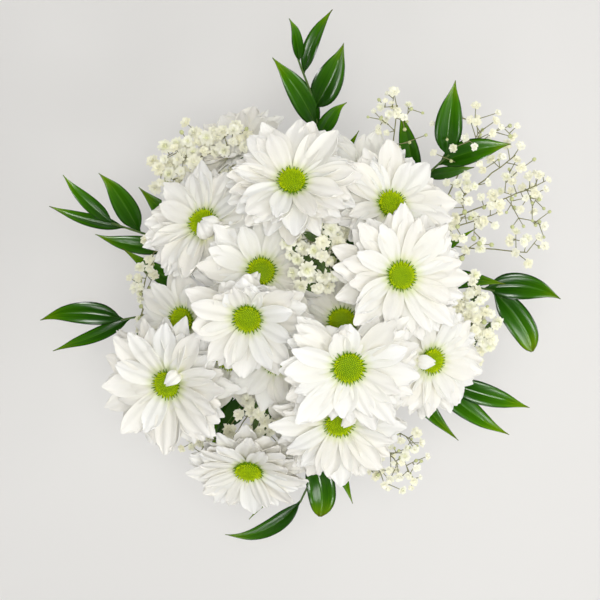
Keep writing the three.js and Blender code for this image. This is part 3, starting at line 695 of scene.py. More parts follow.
def petal_marks(bloom, i, way):
    """Corners that the solid of petal i has if it grew in this way: its tip and two of its rings."""
    petal = solid_petal(bloom, i, way)
    marks = [petal.point(1, 0, 0)]
    for s, w in ((0.34, 0.8), (0.84, 0.85)) if bloom.low or bloom.plain else ((0.62, 1), (0.89, 0.74)):
        marks += [petal.point(s, side * petal.half_w * w, PETAL_T / 3) for side in (-1, 1)]
        marks.append(petal.point(s, 0, -PETAL_T * 2 / 3))
    return [bloom.matrix @ mark for mark in marks]


def petals_of(bloom):
    """All petals of a bloom: those of the solids, and more between and under them."""
    tree = corners_of(f"{bloom.name}_petals")
    count = LOW_PETALS if bloom.low else PETALS
    ways = [first_found(tree, PETAL_WAYS, lambda way: petal_marks(bloom, i, way)) for i in range(count)]
    petals = [solid_petal(bloom, i, way) for i, way in enumerate(ways)]
    spoke = 360 / count

    def uneven(detail, half):
        return spread(bloom.index, i + detail, half)

    for i in range(count):
        near = [ways[(i + k) % count] for k in (-1, 0, 1)]
        kept = min(shorter for shorter, _, _ in near) * trim_at(bloom, spoke * i)
        lift = bloom.cup + sum(bend for _, bend, _ in near) / 3 + uneven(200, 4)
        pitch, droop, root, long, wide = INNER if i % 2 == 1 or bloom.low else UNDER
        petals.append(Petal(
            spoke * (i + (0.5 if bloom.low else 0)) + uneven(240, 5),
            lift + pitch,
            droop + uneven(280, 10),
            bloom.reach * kept * (long + uneven(320, 0.08)) - PETAL_ROOT_R,
            PETAL_W / 2 * wide * (1 + uneven(360, 0.1)),
            root,
        ))
        if not bloom.low:
            pitch, droop, root, long, wide = BETWEEN
            petals.append(Petal(
                spoke * (i + 0.5) + uneven(400, 5),
                lift + pitch + uneven(440, 4),
                droop + uneven(480, 10),
                bloom.reach * kept * (long + uneven(520, 0.08)) - PETAL_ROOT_R,
                PETAL_W / 2 * wide * (1 + uneven(560, 0.1)),
                root,
            ))
    return petals


def add_petal(bm, petal, seed):
    """A petal: narrow at its root, faintly grooved, cupped or arched, with a round notched tip."""
    sway = spread(seed, 1, 2.2)
    bowl = 0.12 + spread(seed, 2, 0.26)
    twist = spread(seed, 3, 0.3)
    blunt = 0.13 + spread(seed, 4, 0.05)
    notch = 0.07 * max(0, draw(seed, 5) - 0.3)
    notch_at = spread(seed, 6, 0.4)
    ripple = spread(seed, 7, 0.8)
    phase = 6.3 * draw(seed, 8)
    tip_curl = spread(seed, 10, 1.8)
    grooves = 0.34 + 0.26 * draw(seed, 11)
    lines = 6.6 + spread(seed, 12, 1)

    def place(across, along):
        s = along - blunt * along**4 * abs(across) ** 2.1
        s -= notch * along**12 * exp(-(((across - notch_at) / 0.22) ** 2))
        wide = petal.half_w * on_outline(PETAL_OUTLINE, along)
        groove = grooves * cos(across * lines) * ease(0, 0.3, along) * (1 - 0.35 * along)
        over = bowl * wide * (across * across - 0.35) * ease(0, 0.5, along) + groove
        over += twist * wide * across * along
        over += ripple * sin(phase + 5.5 * along) * abs(across) ** 3 * along + tip_curl * along**5
        return petal.point(s, across * wide + sway * s * s, over)

    warped_grid(bm, *PETAL_GRID, place, draw(seed, 9))


def add_curl(bm, bloom, degrees, seed, size=1):
    """A short petal that comes up beside the eye and rolls in over it."""
    wide = EYE_R * bloom.eye
    spine = Line([
        (COLLAR_R - 1, 0, 1.1),
        (wide + 2.2, 0, 2.8),
        (wide + 2.7, 0, 2.8 + 3.8 * size),
        (wide - 0.8, 0, 2.8 + 6.4 * size),
        (wide - 4.9 * size, 0, 2.8 + 6.0 * size),
    ], steps=60)

    def place(across, along):
        point = spine.at(along - 0.17 * along**3 * across * across - 0.05 * along**9 * cos(across * 5))
        heading = spine.heading(along)
        half = 4.1 * size**0.5 * on_outline(CURL_OUTLINE, along)
        cup = 0.1 * half * across * across + 0.38 * cos(across * 6.8) * ease(0.1, 0.5, along)
        radial, up = point.x + heading.z * -cup, point.z + heading.x * cup
        return around(radians(degrees), radial, across * half * 0.92, up)

    warped_grid(bm, *PETAL_GRID, place, draw(seed, 9), low=0.2)


def make_petals(bloom, material):
    bm = new_mesh(*SHEET_NUMBERS)
    for k, petal in enumerate(petals_of(bloom)):
        add_petal(bm, petal, 40 * bloom.index + k + 0.5)
    for k, degrees in enumerate(bloom.curls):
        add_curl(bm, bloom, degrees, 3000 + 10 * bloom.index + k)
    for k, (degrees, size) in enumerate(MORE_CURLS.get(bloom.index, [])):
        add_curl(bm, bloom, degrees, 3500 + 10 * bloom.index + k, size)
    thicken(bm, PETAL_FINE_T)
    bmesh.ops.create_cone(
        bm, cap_ends=True, segments=16, radius1=COLLAR_R - 1.2, radius2=COLLAR_R - 0.9,
        depth=COLLAR_H, matrix=Matrix.Translation(UP * (COLLAR_H / 2)),
    )
    bmesh.ops.transform(bm, matrix=bloom.matrix, verts=bm.verts)
    finish_piece(f"petals_{bloom.index + 1:02d}", bm, [material], f"{bloom.name}_petals", "petals")


# The green eye of a daisy: the height of its dome, and of the dip in the middle

EYE_H = 4.0
EYE_DIP = 0.35


def eye_top(wide, r):
    """The height of the eye's dome above its foot, and how steeply it falls away."""
    part = min(1, r / wide)
    return EYE_H * (1 - part**6) - EYE_DIP * (1 - part * part), EYE_H * 6 * part**5 / wide


def add_floret(bm, angle, radius, height, lean, size, long, rim, tone):
    """A tiny bud that stands on the eye and leans outwards."""
    stand = Matrix.Rotation(angle, 4, "Z") @ Matrix.Translation((radius, 0, height))
    stand = stand @ Matrix.Rotation(lean, 4, "Y") @ Matrix.Translation(UP * (long / 2 - 0.3))
    made = bmesh.ops.create_cone(
        bm, cap_ends=True, segments=5, radius1=size, radius2=size * (0.25 if rim > 0.7 else 0.62),
        depth=long, matrix=stand,
    )
    tell(bm, made["verts"], tone=tone, rim=rim)


def make_eye(bloom, material):
    bm = new_mesh("tone", "rim")
    base = COLLAR_H + SEAT_GAP
    wide = EYE_R * bloom.eye
    profile = [(0, base), (wide - 2, base), (wide - 0.7, base + 0.5)]
    for part in (0.97, 0.9, 0.78, 0.6, 0.4, 0.2, 0):
        profile.append((wide * part, base + eye_top(wide, wide * part)[0]))
    tell(bm, turned(bm, profile, 24, Matrix.Identity(4)), tone=0.5, rim=1)
    seed = 500 + bloom.index
    for k in range(CLOSED_FLORETS):
        part = sqrt((k + 0.5) / CLOSED_FLORETS) * 0.96
        height, fall = eye_top(wide, wide * part)
        long = 0.72 + 0.3 * draw(seed, k)
        add_floret(
            bm, radians(GOLDEN_ANGLE * k), wide * part, base + height, atan(fall) * 0.7,
            0.42, long, 0.7 * part**4, draw(seed, k + 300),
        )
    # The lower ring has rim 1, which the disc's material paints deep green as painted shade. The upper ring
    # has less and is yellower.
    for ring, k in product(range(2), range(RING_FLORETS)):
        angle = tau * (k + ring / 2 + spread(seed, k + 600, 0.25)) / RING_FLORETS
        lean = radians(70 - 26 * ring + spread(seed, k + 700 + 50 * ring, 14))
        long = 2.3 - 0.5 * ring + spread(seed, k + 800 + 50 * ring, 0.5)
        add_floret(
            bm, angle, wide * (0.95 - 0.04 * ring), base + 1.9 + 0.8 * ring, lean,
            0.55, long, 1 - 0.25 * ring, draw(seed, k + 900),
        )
    bmesh.ops.transform(bm, matrix=bloom.matrix, verts=bm.verts)
    finish_piece(f"eye_{bloom.index + 1:02d}", bm, [material], f"{bloom.name}_eye", "eyes")


# Daisy stems

def spray_line(slot, blooms):
    """The line of a spray's stem: up through the tie and on to the fork of its side stalks."""
    middle = sum((Vector(bloom.at) for bloom in blooms), Vector()) / len(blooms)
    fork = Vector((middle.x * 0.5, middle.y * 0.5, middle.z * 0.5 + 62))
    if slot is None:
        return Line([*(UP * z for z in (0, TIE_Z / 2, TIE_Z, STRAIGHT_TOP_Z)), fork])
    return Line([*spiral_start(INNER_RING_R, INNER_SLOPE, slot), fork])


def stalk_start(order):
    """How far up the stem a bloom's side stalk leaves it."""
    return 0.985 - 0.05 * order


def stalk_ends(line, bloom, order, way):
    """The four points of the curve that a bloom's side stalk follows in the solids."""
    sideways, drop = way
    s = stalk_start(order)
    start = line.on_straights(s)
    foot = bloom.matrix @ (UP * (-SEAT_GAP - CALYX_H + 0.8))
    axis = (bloom.matrix.to_3x3() @ UP).normalized()
    pull = (foot - start).length * 0.35
    side = beside(foot) * sideways
    return start, start + line.heading(s) * pull + side, foot - axis * pull + side - UP * drop, foot


def stalk_misfit(tree, ends):
    """How far the solid's corners are from lying round this curve at a third and two thirds of it."""
    near = tree.find_n(cubic(*ends, 1 / 3), 5) + tree.find_n(cubic(*ends, 2 / 3), 5)
    return sum(abs(distance - PEDICEL_R) for _, _, distance in near)


def add_scales(bm, bloom):
    """The green scales that overlap on the cup under a bloom, in two rows."""
    for row, (low, high, count) in enumerate(((-6.6, -0.9, 12), (-4.6, 0.2, 14))):
        for k in range(count):

            def place(across, along):
                z = mix(low, high, along)
                half = 0.85 * sin(pi * min(1, 0.25 + 0.75 * along)) * pi / count
                radius = on_outline(CUP_OUTLINE, min(-0.3, z)) + 0.2 + 0.5 * along + 0.15 * row
                return bloom.matrix @ around(tau * (k + row / 2) / count + across * half, radius, 0, z)

            warped_grid(bm, 2, 4, place)


def add_daisy_leaf(bm, line, leaf, seed):
    """A soft lobed leaf that curves out from the stem and up between the stalks."""
    start, tip, width = leaf
    base, tip = line.at(start), Vector(tip)
    out = Vector((tip.x - base.x, tip.y - base.y, 0)).normalized()
    curve = base, base.lerp(tip, 0.5) + out * 5 - UP * 4, tip
    roll = spread(seed, 1, 0.3)
    phase = 2 * draw(seed, 3)

    def place(across, along):
        point, side, up = leaf_frame(curve, roll, along)
        lobes = 1 - 0.3 * (0.5 + 0.5 * cos(21 * along + phase)) * ease(0.15, 0.4, along)
        half = max(0.9, width / 2 * sin(pi * along**1.35) ** 0.8 * lobes)
        fold = 0.3 * half * abs(across) - 0.35 * half * across**4
        return point + side * across * half + up * fold

    warped_grid(bm, *DAISY_LEAF_GRID, place, draw(seed, 2))


def make_daisy_stem(k, slot, blooms, materials):
    name = f"daisy_stem_{k + 1}"
    line = spray_line(slot, blooms)
    tree = corners_of(name)
    thick = CENTRE_STEM_R if slot is None else DAISY_STEM_R
    stem, scales, leaves = new_mesh(), new_mesh(), new_mesh(*SHEET_NUMBERS)
    runs = [stem_run(line, lambda s: thick - 0.5 * s)]
    for order, bloom in enumerate(blooms):
        curves = [stalk_ends(line, bloom, order, way) for way in STALK_WAYS]
        ends = min(curves, key=lambda points: stalk_misfit(tree, points))
        s = stalk_start(order)
        steps = [t / STALK_STEPS for t in range(1, STALK_STEPS + 1)]
        stalk = [(cubic(*ends, t), 1.45 + 0.35 * t**6) for t in steps]
        runs.append([(line.at(s) - line.heading(s) * 2, 1.2), *stalk])
        add_scales(scales, bloom)
    add_tubes(stem, runs, roundness=3)
    cut_level(stem, 1)
    for bloom in blooms:
        cup = [(on_outline(CUP_OUTLINE, z), z) for z in (-7.6, -6.4, -4.8, -3.2, -1.6, -0.3)]
        turned(stem, [(0, -8.9), (1.7, -8.6), *cup, (0, -0.3)], 20, bloom.matrix)
    bmesh.ops.recalc_face_normals(stem, faces=stem.faces[:])
    for n, leaf in enumerate(DAISY_LEAVES[k]):
        add_daisy_leaf(leaves, line, leaf, 4000 + 10 * k + n)
    for sheets, thickness, index in ((scales, SCALE_T, 2), (leaves, LEAF_FINE_T, 3)):
        thicken(sheets, thickness)
        paint(sheets, index)
        join(stem, sheets)
    finish_piece(f"stem_{k + 1}", stem, materials, name, "daisy_stems")


# Ruscus

def thin_line(slot, way, inner=False):
    """The line of a ruscus or gypsophila stem, from its foot through the tie to its end."""
    inner_ring = CENTRE_STEM_R + THIN_STEM_R + STEM_GAP, INNER_SLOPE
    ring = inner_ring if inner else (OUTER_RING_R, OUTER_SLOPE)
    return Line([*spiral_start(*ring, slot), *way])


def leaf_lie(line, leaf, way):
    """The base, middle and tip of the curve that a leaf follows in the solids, and its roll."""
    lift, more_roll = way
    base = line.on_straights(min(leaf.base, LEAF_TOP))
    tip = Vector(leaf.tip) + UP * lift
    middle = base.lerp(tip, 0.5) + beside(tip - base) * leaf.sweep + UP * (leaf.arch + lift / 2)
    return (base, middle, tip), radians(leaf.roll + more_roll)


def leaf_frame(curve, roll, s):
    """The point at s along a leaf, the way across it and the way up from it."""
    base, middle, tip = curve
    tangent = ((middle - base) * (1 - s) + (tip - middle) * s).normalized()
    across = Matrix.Rotation(roll, 3, tangent) @ beside(tangent)
    return quadratic(base, middle, tip, s), across, tangent.cross(across)


def leaf_marks(line, leaf, way):
    """Corners that the solid of a leaf has if it grew in this way: its tip and two of its rings."""
    curve, roll = leaf_lie(line, leaf, way)
    marks = [curve[2]]
    for s, w in ((0.36, 1), (0.82, 0.86) if leaf.blunt else (0.7, 0.78)):
        point, across, up = leaf_frame(curve, roll, s)
        half = leaf.width / 2 * w
        marks += [point + across * side * half + up * half * LEAF_FOLD for side in (-1, 1)]
    return marks


def add_leaf(bm, line, leaf, way, seed):
    """A leaf folded along its midrib, with a short stalk, gently waved edges and a drawn-out tip."""
    curve, roll = leaf_lie(line, leaf, way)
    slip = line.at(min(leaf.base, LEAF_TOP)) - curve[0]
    outline = BLUNT_OUTLINE if leaf.blunt and not leaf.drawn_out else LEAF_OUTLINE
    wave = spread(seed, 1, 0.5)
    phase = 6.3 * draw(seed, 2)
    twist = spread(seed, 3, 0.25)
    hook = spread(seed, 5, 2.2)

    def place(across, along):
        point, side, up = leaf_frame(curve, roll + twist * along, along)
        point = point + side * hook * ease(0.7, 1.15, along)
        half = leaf.width / 2 * 1.04 * on_outline(outline, along)
        fold = LEAF_FOLD * half * (2 * (sqrt(across * across + 0.015) - 0.122) - 0.77 * across * across)
        ripple = wave * sin(phase + 8 * along) * across * across * min(1, half / 3)
        rib = -0.16 * exp(-((across / 0.09) ** 2)) * min(1, half / 2)
        edge = -0.1 * half * abs(across) ** 6
        point = point + side * across * half + up * (fold + ripple + rib + edge)
        return point + slip * max(0, 1 - along / 0.3) ** 2

    warped_grid(bm, *LEAF_GRID, place, draw(seed, 4))


def make_ruscus(k, slot, way_up, leaves, materials):
    name = f"ruscus_{k + 1}"
    line = thin_line(slot, way_up)
    tree = corners_of(name)
    sprig, stem = new_mesh(*SHEET_NUMBERS), new_mesh()
    for n, leaf in enumerate(leaves):
        way = first_found(tree, LEAF_WAYS, lambda way: leaf_marks(line, leaf, way))
        add_leaf(sprig, line, leaf, way, 2000 + 20 * k + n)
    thicken(sprig, LEAF_FINE_T)
    add_tubes(stem, [stem_run(line, lambda s: 1.4 - 0.85 * s**1.5)])
    paint(stem, 1)
    cut_level(stem, 2)
    join(sprig, stem)
    finish_piece(f"ruscus_sprig_{k + 1}", sprig, materials, name, "ruscus")


# Gypsophila

# Rings of petals in a small, a middling and a large flower: how many, their lift, and their length
# beside the flower's radius
FLOWER_RINGS = [
    ((5, 10, 1), (4, 48, 0.72)),
    ((7, 6, 1), (5, 34, 0.84), (4, 62, 0.62)),
    ((10, 2, 1), (8, 26, 0.9), (6, 48, 0.78), (4, 72, 0.62)),
]


def flower_plan(veil, b, f, index, start):
    """Where flower f of branch b stands in the solids, and how wide it is."""
    seed = 1000 + index * 100 + b * 10 + f
    end = Vector(veil.branches[b])
    angle = (f + draw(seed, 1)) / veil.clump * tau
    offset = around(angle, veil.flower * (1.5 + 1.2 * draw(seed, 2)), 0, 2 + 6 * draw(seed, 3))
    return {
        "from": start.lerp(end, 0.98 - 0.04 * f),
        "centre": end + offset,
        "axis": (offset.normalized() + UP * 1.2).normalized(),
        "wide": veil.flower * (0.85 + 0.3 * draw(seed, 4)),
    }


def cloud_spots(cloud, seed, plans, others):
    """The places in a cloud where a flower has room, from the middle outwards."""
    spots = []
    for n in range(cloud.count):
        wide = cloud.wide * (0.75 + 0.5 * draw(seed, n + 0.1))
        bud = draw(seed, n + 0.2) < cloud.buds
        for attempt in range(14):
            drift = Vector([spread(seed + attempt * 0.61, n + axis / 4, 1) for axis in (1, 2, 3)])
            centre = Vector([at + half * part for at, half, part in zip(cloud.middle, cloud.half, drift)])
            apart = all(
                (centre - plan["centre"]).length > cloud.room * (wide + plan["wide"])
                for plan in plans + spots
            )
            if drift.length < 1 and apart and others.find_nearest(centre)[3] > 0.75 * wide:
                spots.append({"centre": centre, "wide": 0.45 * wide if bud else wide, "bud": bud})
                break
    middle = Vector(cloud.middle)
    return sorted(spots, key=lambda spot: (spot["centre"] - middle).length)


def grow_twig(spot, joints, runs, others):
    """Joins a flower to the nearest twig that lies lower, and makes a new joint on its own twig."""
    centre = spot["centre"]

    def toil(joint):
        return (joint - centre).length + 1.2 * max(0, joint.z - centre.z + 3)

    for root in sorted(joints, key=toil)[:6]:
        middle = root.lerp(centre, 0.55) - UP * (0.12 * (centre - root).length)
        if others.find_nearest(middle)[3] > 0.6:
            break
    spot["axis"] = ((centre - root).normalized() + UP * 1.3).normalized()
    runs.append([(quadratic(root, middle, centre, t / 5), 0.27 - 0.09 * t / 5) for t in range(6)])
    joints.append(quadratic(root, middle, centre, 0.6))


def stand_at(plan):
    """The frame of a flower or bud, with its axis up."""
    return Matrix.Translation(plan["centre"]) @ plan["axis"].to_track_quat("Z", "Y").to_matrix().to_4x4()


def add_flower(bm, plan, seed):
    """A double flower: rings of tiny petals, the inner ones more upright."""
    stand = stand_at(plan)
    tone = 0.6 * draw(seed, 1)
    rings = FLOWER_RINGS[(plan["wide"] >= 2.5) + (plan["wide"] >= 3.7)]
    for ring, (count, lift, reach) in enumerate(rings):
        for k in range(count):
            turn = tau * (k + ring * 0.4 + spread(seed, 10 * ring + k, 0.25)) / count
            long = plan["wide"] * reach * (1 + spread(seed, 40 + 10 * ring + k, 0.12))
            lean = radians(lift + spread(seed, 80 + 10 * ring + k, 9))
            broad = long * min(0.5, 2.7 / count)
            lay = stand @ Matrix.Rotation(turn, 4, "Z") @ Matrix.Rotation(-lean, 4, "Y")
            lay = lay @ Matrix.Translation((long * 0.52, 0, 0))
            lay = lay @ Matrix.Diagonal((long * 0.52, broad, 0.45, 1))
            made = bmesh.ops.create_cone(
                bm, cap_ends=True, segments=5, radius1=0, radius2=1, depth=1, matrix=lay
            )
            tell(bm, made["verts"], tone=tone + 0.08 * ring + 0.1 * draw(seed, 120 + 10 * ring + k))


def add_bud(bm, plan, seed):
    """A closed bud: a small greenish ball, a little longer than wide."""
    lay = stand_at(plan) @ Matrix.Diagonal((1, 1, 1.15, 1))
    made = bmesh.ops.create_icosphere(bm, subdivisions=1, radius=max(0.9, plan["wide"]), matrix=lay)
    tell(bm, made["verts"], tone=1.2 + 0.4 * draw(seed, 1))


def add_bracts(bm, cloud, seed, joints, others):
    """The narrow dark leaves at a cloud's forks. They show only between its flowers, where they
    stand in for the shade in the gaps: they are partly real leaves and partly painted shade.
    """
    for n in range(cloud.leaves):
        for attempt in range(12):
            base = joints[int(draw(seed + attempt * 0.37, n) * len(joints))]
            turn = tau * draw(seed + attempt * 0.53, n + 0.4)
            long = 7 + 5 * draw(seed, n + 0.7)
            tip = base + around(turn, long, 0, spread(seed, n + 0.9, 1.5))
            middle = base.lerp(tip, 0.5) + UP
            astray = hypot(*[(tip[k] - cloud.middle[k]) / cloud.half[k] for k in (0, 1)]) > 1
            if not astray and min(others.find_nearest(point)[3] for point in (tip, middle)) > 1.2:
                break
        else:
            continue

        def place(across, along):
            point, side, up = leaf_frame((base, middle, tip), 0, along)
            half = max(0.15, 0.19 * long * sin(pi * along**0.9))
            return point + side * across * half + up * 0.3 * half * abs(across)

        warped_grid(bm, 4, 7, place)


def twig_run(plan):
    """The (point, radius) pairs of the twig of a flower that the solids have."""
    start, centre = plan["from"], plan["centre"]
    pull = centre - plan["axis"] * (centre - start).length * 0.4
    return [(quadratic(start, pull, centre, t / 6), 0.26 * (1 - 0.3 * t / 6)) for t in range(7)]


def branch_run(start, end, seed):
    """The (point, radius) pairs of a long branch, slightly bowed and bent at its knots."""
    span = (end - start).length
    run = []
    for t in range(13):
        bend = Vector((spread(seed, t, 0.5), spread(seed, t + 20, 0.5), 0.04 * span))
        run.append((start.lerp(end, t / 12) + bend * sin(pi * t / 12), 0.46 - 0.18 * t / 12))
    return run


def surfaces_of(pieces):
    """A search tree of the surfaces of finished pieces, in millimetres."""
    verts, faces = [], []
    for piece in pieces:
        first = len(verts)
        verts += [v.co * 1000 for v in piece.data.vertices]
        faces += [[first + v for v in polygon.vertices] for polygon in piece.data.polygons]
    return BVHTree.FromPolygons(verts, faces)


def make_gypsophila(index, veil, materials, others):
    name = f"gypsophila_{index + 1}"
    line = thin_line(veil.slot, veil.way, veil.inner)
    tree = corners_of(name)
    flowers, bracts, stem = new_mesh("tone"), new_mesh(), new_mesh()
    runs, plans, joints = [], [], []
    for b, branch in enumerate(veil.branches):
        start = line.on_straights(0.98 - 0.03 * b)
        run = branch_run(start, Vector(branch), 8000 + index * 50 + b)
        runs.append(run)
        joints += [run[k][0] for k in (7, 9, 10, 11, 12)]
        solid = [flower_plan(veil, b, f, index, start) for f in range(veil.clump)]
        solid = [plan for plan in solid if tree.find(plan["centre"])[2] < 0.05]
        runs += [twig_run(plan) for plan in solid]
        plans += solid
    for c, cloud in enumerate(veil.clouds):
        spots = cloud_spots(cloud, 6000 + 37 * index + 7 * c, plans, others)
        first = len(joints)
        for spot in spots:
            grow_twig(spot, joints, runs, others)
        plans += spots
        add_bracts(bracts, cloud, 6500 + 37 * index + 7 * c, joints[first:], others)
    for n, plan in enumerate(plans):
        one = new_mesh("tone")
        draw_one = add_bud if plan.get("bud") else add_flower
        draw_one(one, plan, 7000 + index * 500 + n)
        join(flowers, one)
    add_tubes(stem, runs, roundness=0)
    add_tubes(stem, [stem_run(line, lambda s: 1.35 - 0.7 * s)])
    paint(stem, 1)
    cut_level(stem, 2)
    join(flowers, stem)
    if bracts.faces:
        thicken(bracts, BRACT_T)
    paint(bracts, 3)
    join(flowers, bracts)
    finish_piece(f"gypsophila_spray_{index + 1}", flowers, materials, name, "gypsophila", crease=30)


# The raffia tie

STRANDS = 11
KNOT_LOOPS = 5
END_STRANDS = 3
RING_STEPS = 72
LOOP_STEPS = 24


def make_tie(material):
    """Strands round the bundle, a knot of small loops, and two frayed ends of three strands."""
    inside = hypot(OUTER_RING_R, OUTER_SLOPE * TIE_HALF) + THIN_STEM_R + SEAT_GAP
    strands = []
    for strand in range(STRANDS):
        rise = mix(-TIE_HALF + 0.8, TIE_HALF - 0.8, (strand + 0.5) / STRANDS)
        lay = 0.55 + 0.55 * (strand % 2) + spread(strand, 900, 0.15)
        ring = []
        for k in range(RING_STEPS + 1):
            angle = tau * k / RING_STEPS
            wobble = 0.45 * sin(3 * angle + 6 * draw(strand, 901)) + 0.25 * sin(7 * angle + strand)
            radius = inside + lay + 0.12 * sin(5 * angle + strand * 2)
            ring.append((around(angle, radius, 0, rise + wobble * (1 - cos(angle)) / 2), 0.5))
        strands.append(ring)
    x = inside + STRAND_T + 0.6
    for loop in range(KNOT_LOOPS):
        tilt = Matrix.Rotation(radians(180 / KNOT_LOOPS * loop + spread(loop, 902, 10)), 3, "X")
        swing = Matrix.Rotation(radians(spread(loop, 903, 35)), 3, "Z")
        ring = []
        for k in range(LOOP_STEPS + 1):
            angle = tau * k / LOOP_STEPS
            point = Vector((2.0 * cos(angle), 3.1 * sin(angle), 0.7 * sin(2 * angle)))
            ring.append((Vector((x - 0.3, 0, 0)) + swing @ tilt @ point, 0.75))
        strands.append(ring)
    ends = (
        [(x, 1, -1), (x + 6, 7, -6), (x + 13, 14, -24), (x + 17, 16, -42)],
        [(x, -1, -1), (x + 7, -6, -3), (x + 15, -15, -18), (x + 22, -19, -34)],
    )
    for e, n in product(range(2), range(END_STRANDS)):
        line = Line(ends[e], steps=60)
        seed = 910 + 10 * e + n
        tail = []
        for k in range(LOOP_STEPS + 1):
            s = k / LOOP_STEPS
            drift = Vector([spread(seed, axis, 1.1) for axis in (1, 2, 3)]) * s * s
            curl = Vector((0.4 * sin(9 * s + seed), 0.4 * cos(8 * s + seed), 0)) * s
            tail.append((line.at(s * (0.9 + 0.1 * draw(seed, 4))) + drift + curl, 0.52 * (1 - 0.75 * s**4)))
        strands.append(tail)
    bm = new_mesh()
    add_tubes(bm, strands, roundness=1)
    bmesh.ops.recalc_face_normals(bm, faces=bm.faces[:])
    turn = Matrix.Translation(UP * TIE_Z) @ Matrix.Rotation(radians(TIE_TURN), 4, "Z")
    bmesh.ops.transform(bm, matrix=turn, verts=bm.verts)
    finish_piece("raffia_binding", bm, [material], "raffia_tie", "raffia")


# Materials. A pattern is drawn by cells of noise, and these are their widths and lengths.

VEIN_W = 0.5
RIB_W = 1.11
RIB_L = 40
FIBRE_W = 0.625
FIBRE_L = 8.33
PITH_W = 0.4
TIMES = {"operation": "MULTIPLY"}
MULTIPLY = {"data_type": "RGBA", "blend_type": "MULTIPLY"}


def linear(hex_colour):
    """An sRGB hex value as the linear colour that a shader socket takes."""
    channels = [int(hex_colour[k : k + 2], 16) / 255 for k in (1, 3, 5)]
    return [c / 12.92 if c <= 0.04045 else ((c + 0.055) / 1.055) ** 2.4 for c in channels] + [1]


def new_material(name):
    material = bpy.data.materials.new(name)
    material.use_nodes = True
    return material


def fill(material, node, sockets):
    """Gives each socket its value, or links it where that is a (node, output) pair."""
    for name, value in sockets.items():
        if isinstance(value, tuple) and isinstance(value[0], bpy.types.Node):
            source, output = value
            material.node_tree.links.new(source.outputs[output], node.inputs[name])
        else:
            node.inputs[name].default_value = value


def add_node(material, kind, settings=None, sockets=None, stops=()):
    """Adds a shader node with its settings, its sockets' values and links, and a ramp's colours."""
    made = material.node_tree.nodes.new(f"ShaderNode{kind}")
    for name, value in (settings or {}).items():
        setattr(made, name, value)
    for k, (position, colour) in enumerate(stops):
        ramp = made.color_ramp.elements
        stop = ramp[k] if k < len(ramp) else ramp.new(position)
        stop.position = position
        stop.color = linear(colour)
    fill(material, made, sockets or {})
    return made


def dress(material, sockets):
    """Gives the material's surface its values and links, and returns the material."""
    fill(material, material.node_tree.nodes["Principled BSDF"], sockets)
    return material


def glow(weight, radius, scale):
    """How much light goes into a surface, and how far each colour of it travels there."""
    return {"Subsurface Weight": weight, "Subsurface Radius": radius, "Subsurface Scale": scale}


def fresh_petal():
    """A daisy petal: matt white and faintly see-through, so that light glows in it. Fine grooves
    run from root to tip, the root is green-cream, and some petals are warmer than others. Near the
    root the troughs of the grooves are darkened towards green: painted shade in the creases."""
    m = new_material("fresh_petal")
    along, across, tone = [add_node(m, "Attribute", {"attribute_name": name}) for name in SHEET_NUMBERS]
    root = add_node(m, "ValToRGB", {}, {"Fac": (along, "Fac")},
        [(0.0, "#CCDA78"), (0.14, "#E8EDC0"), (0.36, "#F5F4EA"), (1.0, "#F8F7F2")])
    root.color_ramp.interpolation = "EASE"
    warm = add_node(m, "Math", TIMES, {0: (tone, "Fac"), 1: 0.36})
    whole = add_node(m, "Mix", MULTIPLY, {0: (warm, 0), 6: (root, 0), 7: linear("#F6EEDF")})
    # Painted shade: near the root, the troughs of the fine grooves are darkened towards the green of the
    # root.
    turns = add_node(m, "Math", TIMES, {0: (across, "Fac"), 1: 6.6})
    ridge = add_node(m, "Math", {"operation": "COSINE"}, {0: (turns, 0)})
    crease = add_node(m, "MapRange", {},
        {"Value": (ridge, 0), "From Min": 0.2, "From Max": -1, "To Min": 0, "To Max": 0.5})
    near = add_node(m, "MapRange", {},
        {"Value": (along, "Fac"), "From Min": 0.06, "From Max": 0.42, "To Min": 1, "To Max": 0})
    tint = add_node(m, "Math", TIMES, {0: (crease, 0), 1: (near, 0)})
    colour = add_node(m, "Mix", MULTIPLY, {0: (tint, 0), 6: (whole, 2), 7: linear("#CCD28C")})
    place = add_node(m, "CombineXYZ", {}, {0: (across, "Fac"), 1: (along, "Fac"), 2: (tone, "Fac")})
    stretch = add_node(m, "Mapping", {}, {"Vector": (place, 0), "Scale": (PETAL_W / 2 / VEIN_W, 1.76, 64)})
    fibres = add_node(m, "TexNoise", {},
        {"Vector": (stretch, 0), "Scale": 1, "Detail": 4, "Roughness": 0.6})
    # Veins are about 0.4 mm apart in life; the noise draws them at about 0.8 mm, so that they show.
    bump = add_node(m, "Bump", {}, {"Height": (fibres, 0), "Strength": 0.35, "Distance": 0.0006})
    return dress(m, {"Base Color": (colour, 2), "Normal": (bump, 0), "Roughness": 0.55, "IOR": 1.4,
        **glow(0.2, (1.0, 0.95, 0.8), 0.002)})


def eye_florets():
    """The disc of a daisy: matt yellow-green buds, each a little different, and the open ones
    round the rim in two rings: the lower one a deeper green, which is painted shade of the shadowed
    rim florets, and the upper one yellower."""
    m = new_material("disc_florets")
    tone, rim = [add_node(m, "Attribute", {"attribute_name": name}) for name in ("tone", "rim")]
    # Rim 1, the lower ring of open florets, is painted deep green as painted shade of the rim. The dome under
    # the florets also has rim 1 and takes the same green.
    green = add_node(m, "ValToRGB", {}, {"Fac": (rim, "Fac")},
        [(0.0, "#BAD400"), (0.4, "#D4E400"), (0.75, "#C6D800"), (1.0, "#749A00")])
    each = add_node(m, "ValToRGB", {}, {"Fac": (tone, "Fac")}, [(0.0, "#D2DCA0"), (1.0, "#FFFFFF")])
    both = add_node(m, "Mix", MULTIPLY, {0: 1.0, 6: (green, 0), 7: (each, 0)})
    return dress(m, {"Base Color": (both, 2), "Roughness": 0.7, "Specular IOR Level": 0.2,
        **glow(0.15, (0.6, 1.0, 0.2), 0.001)})


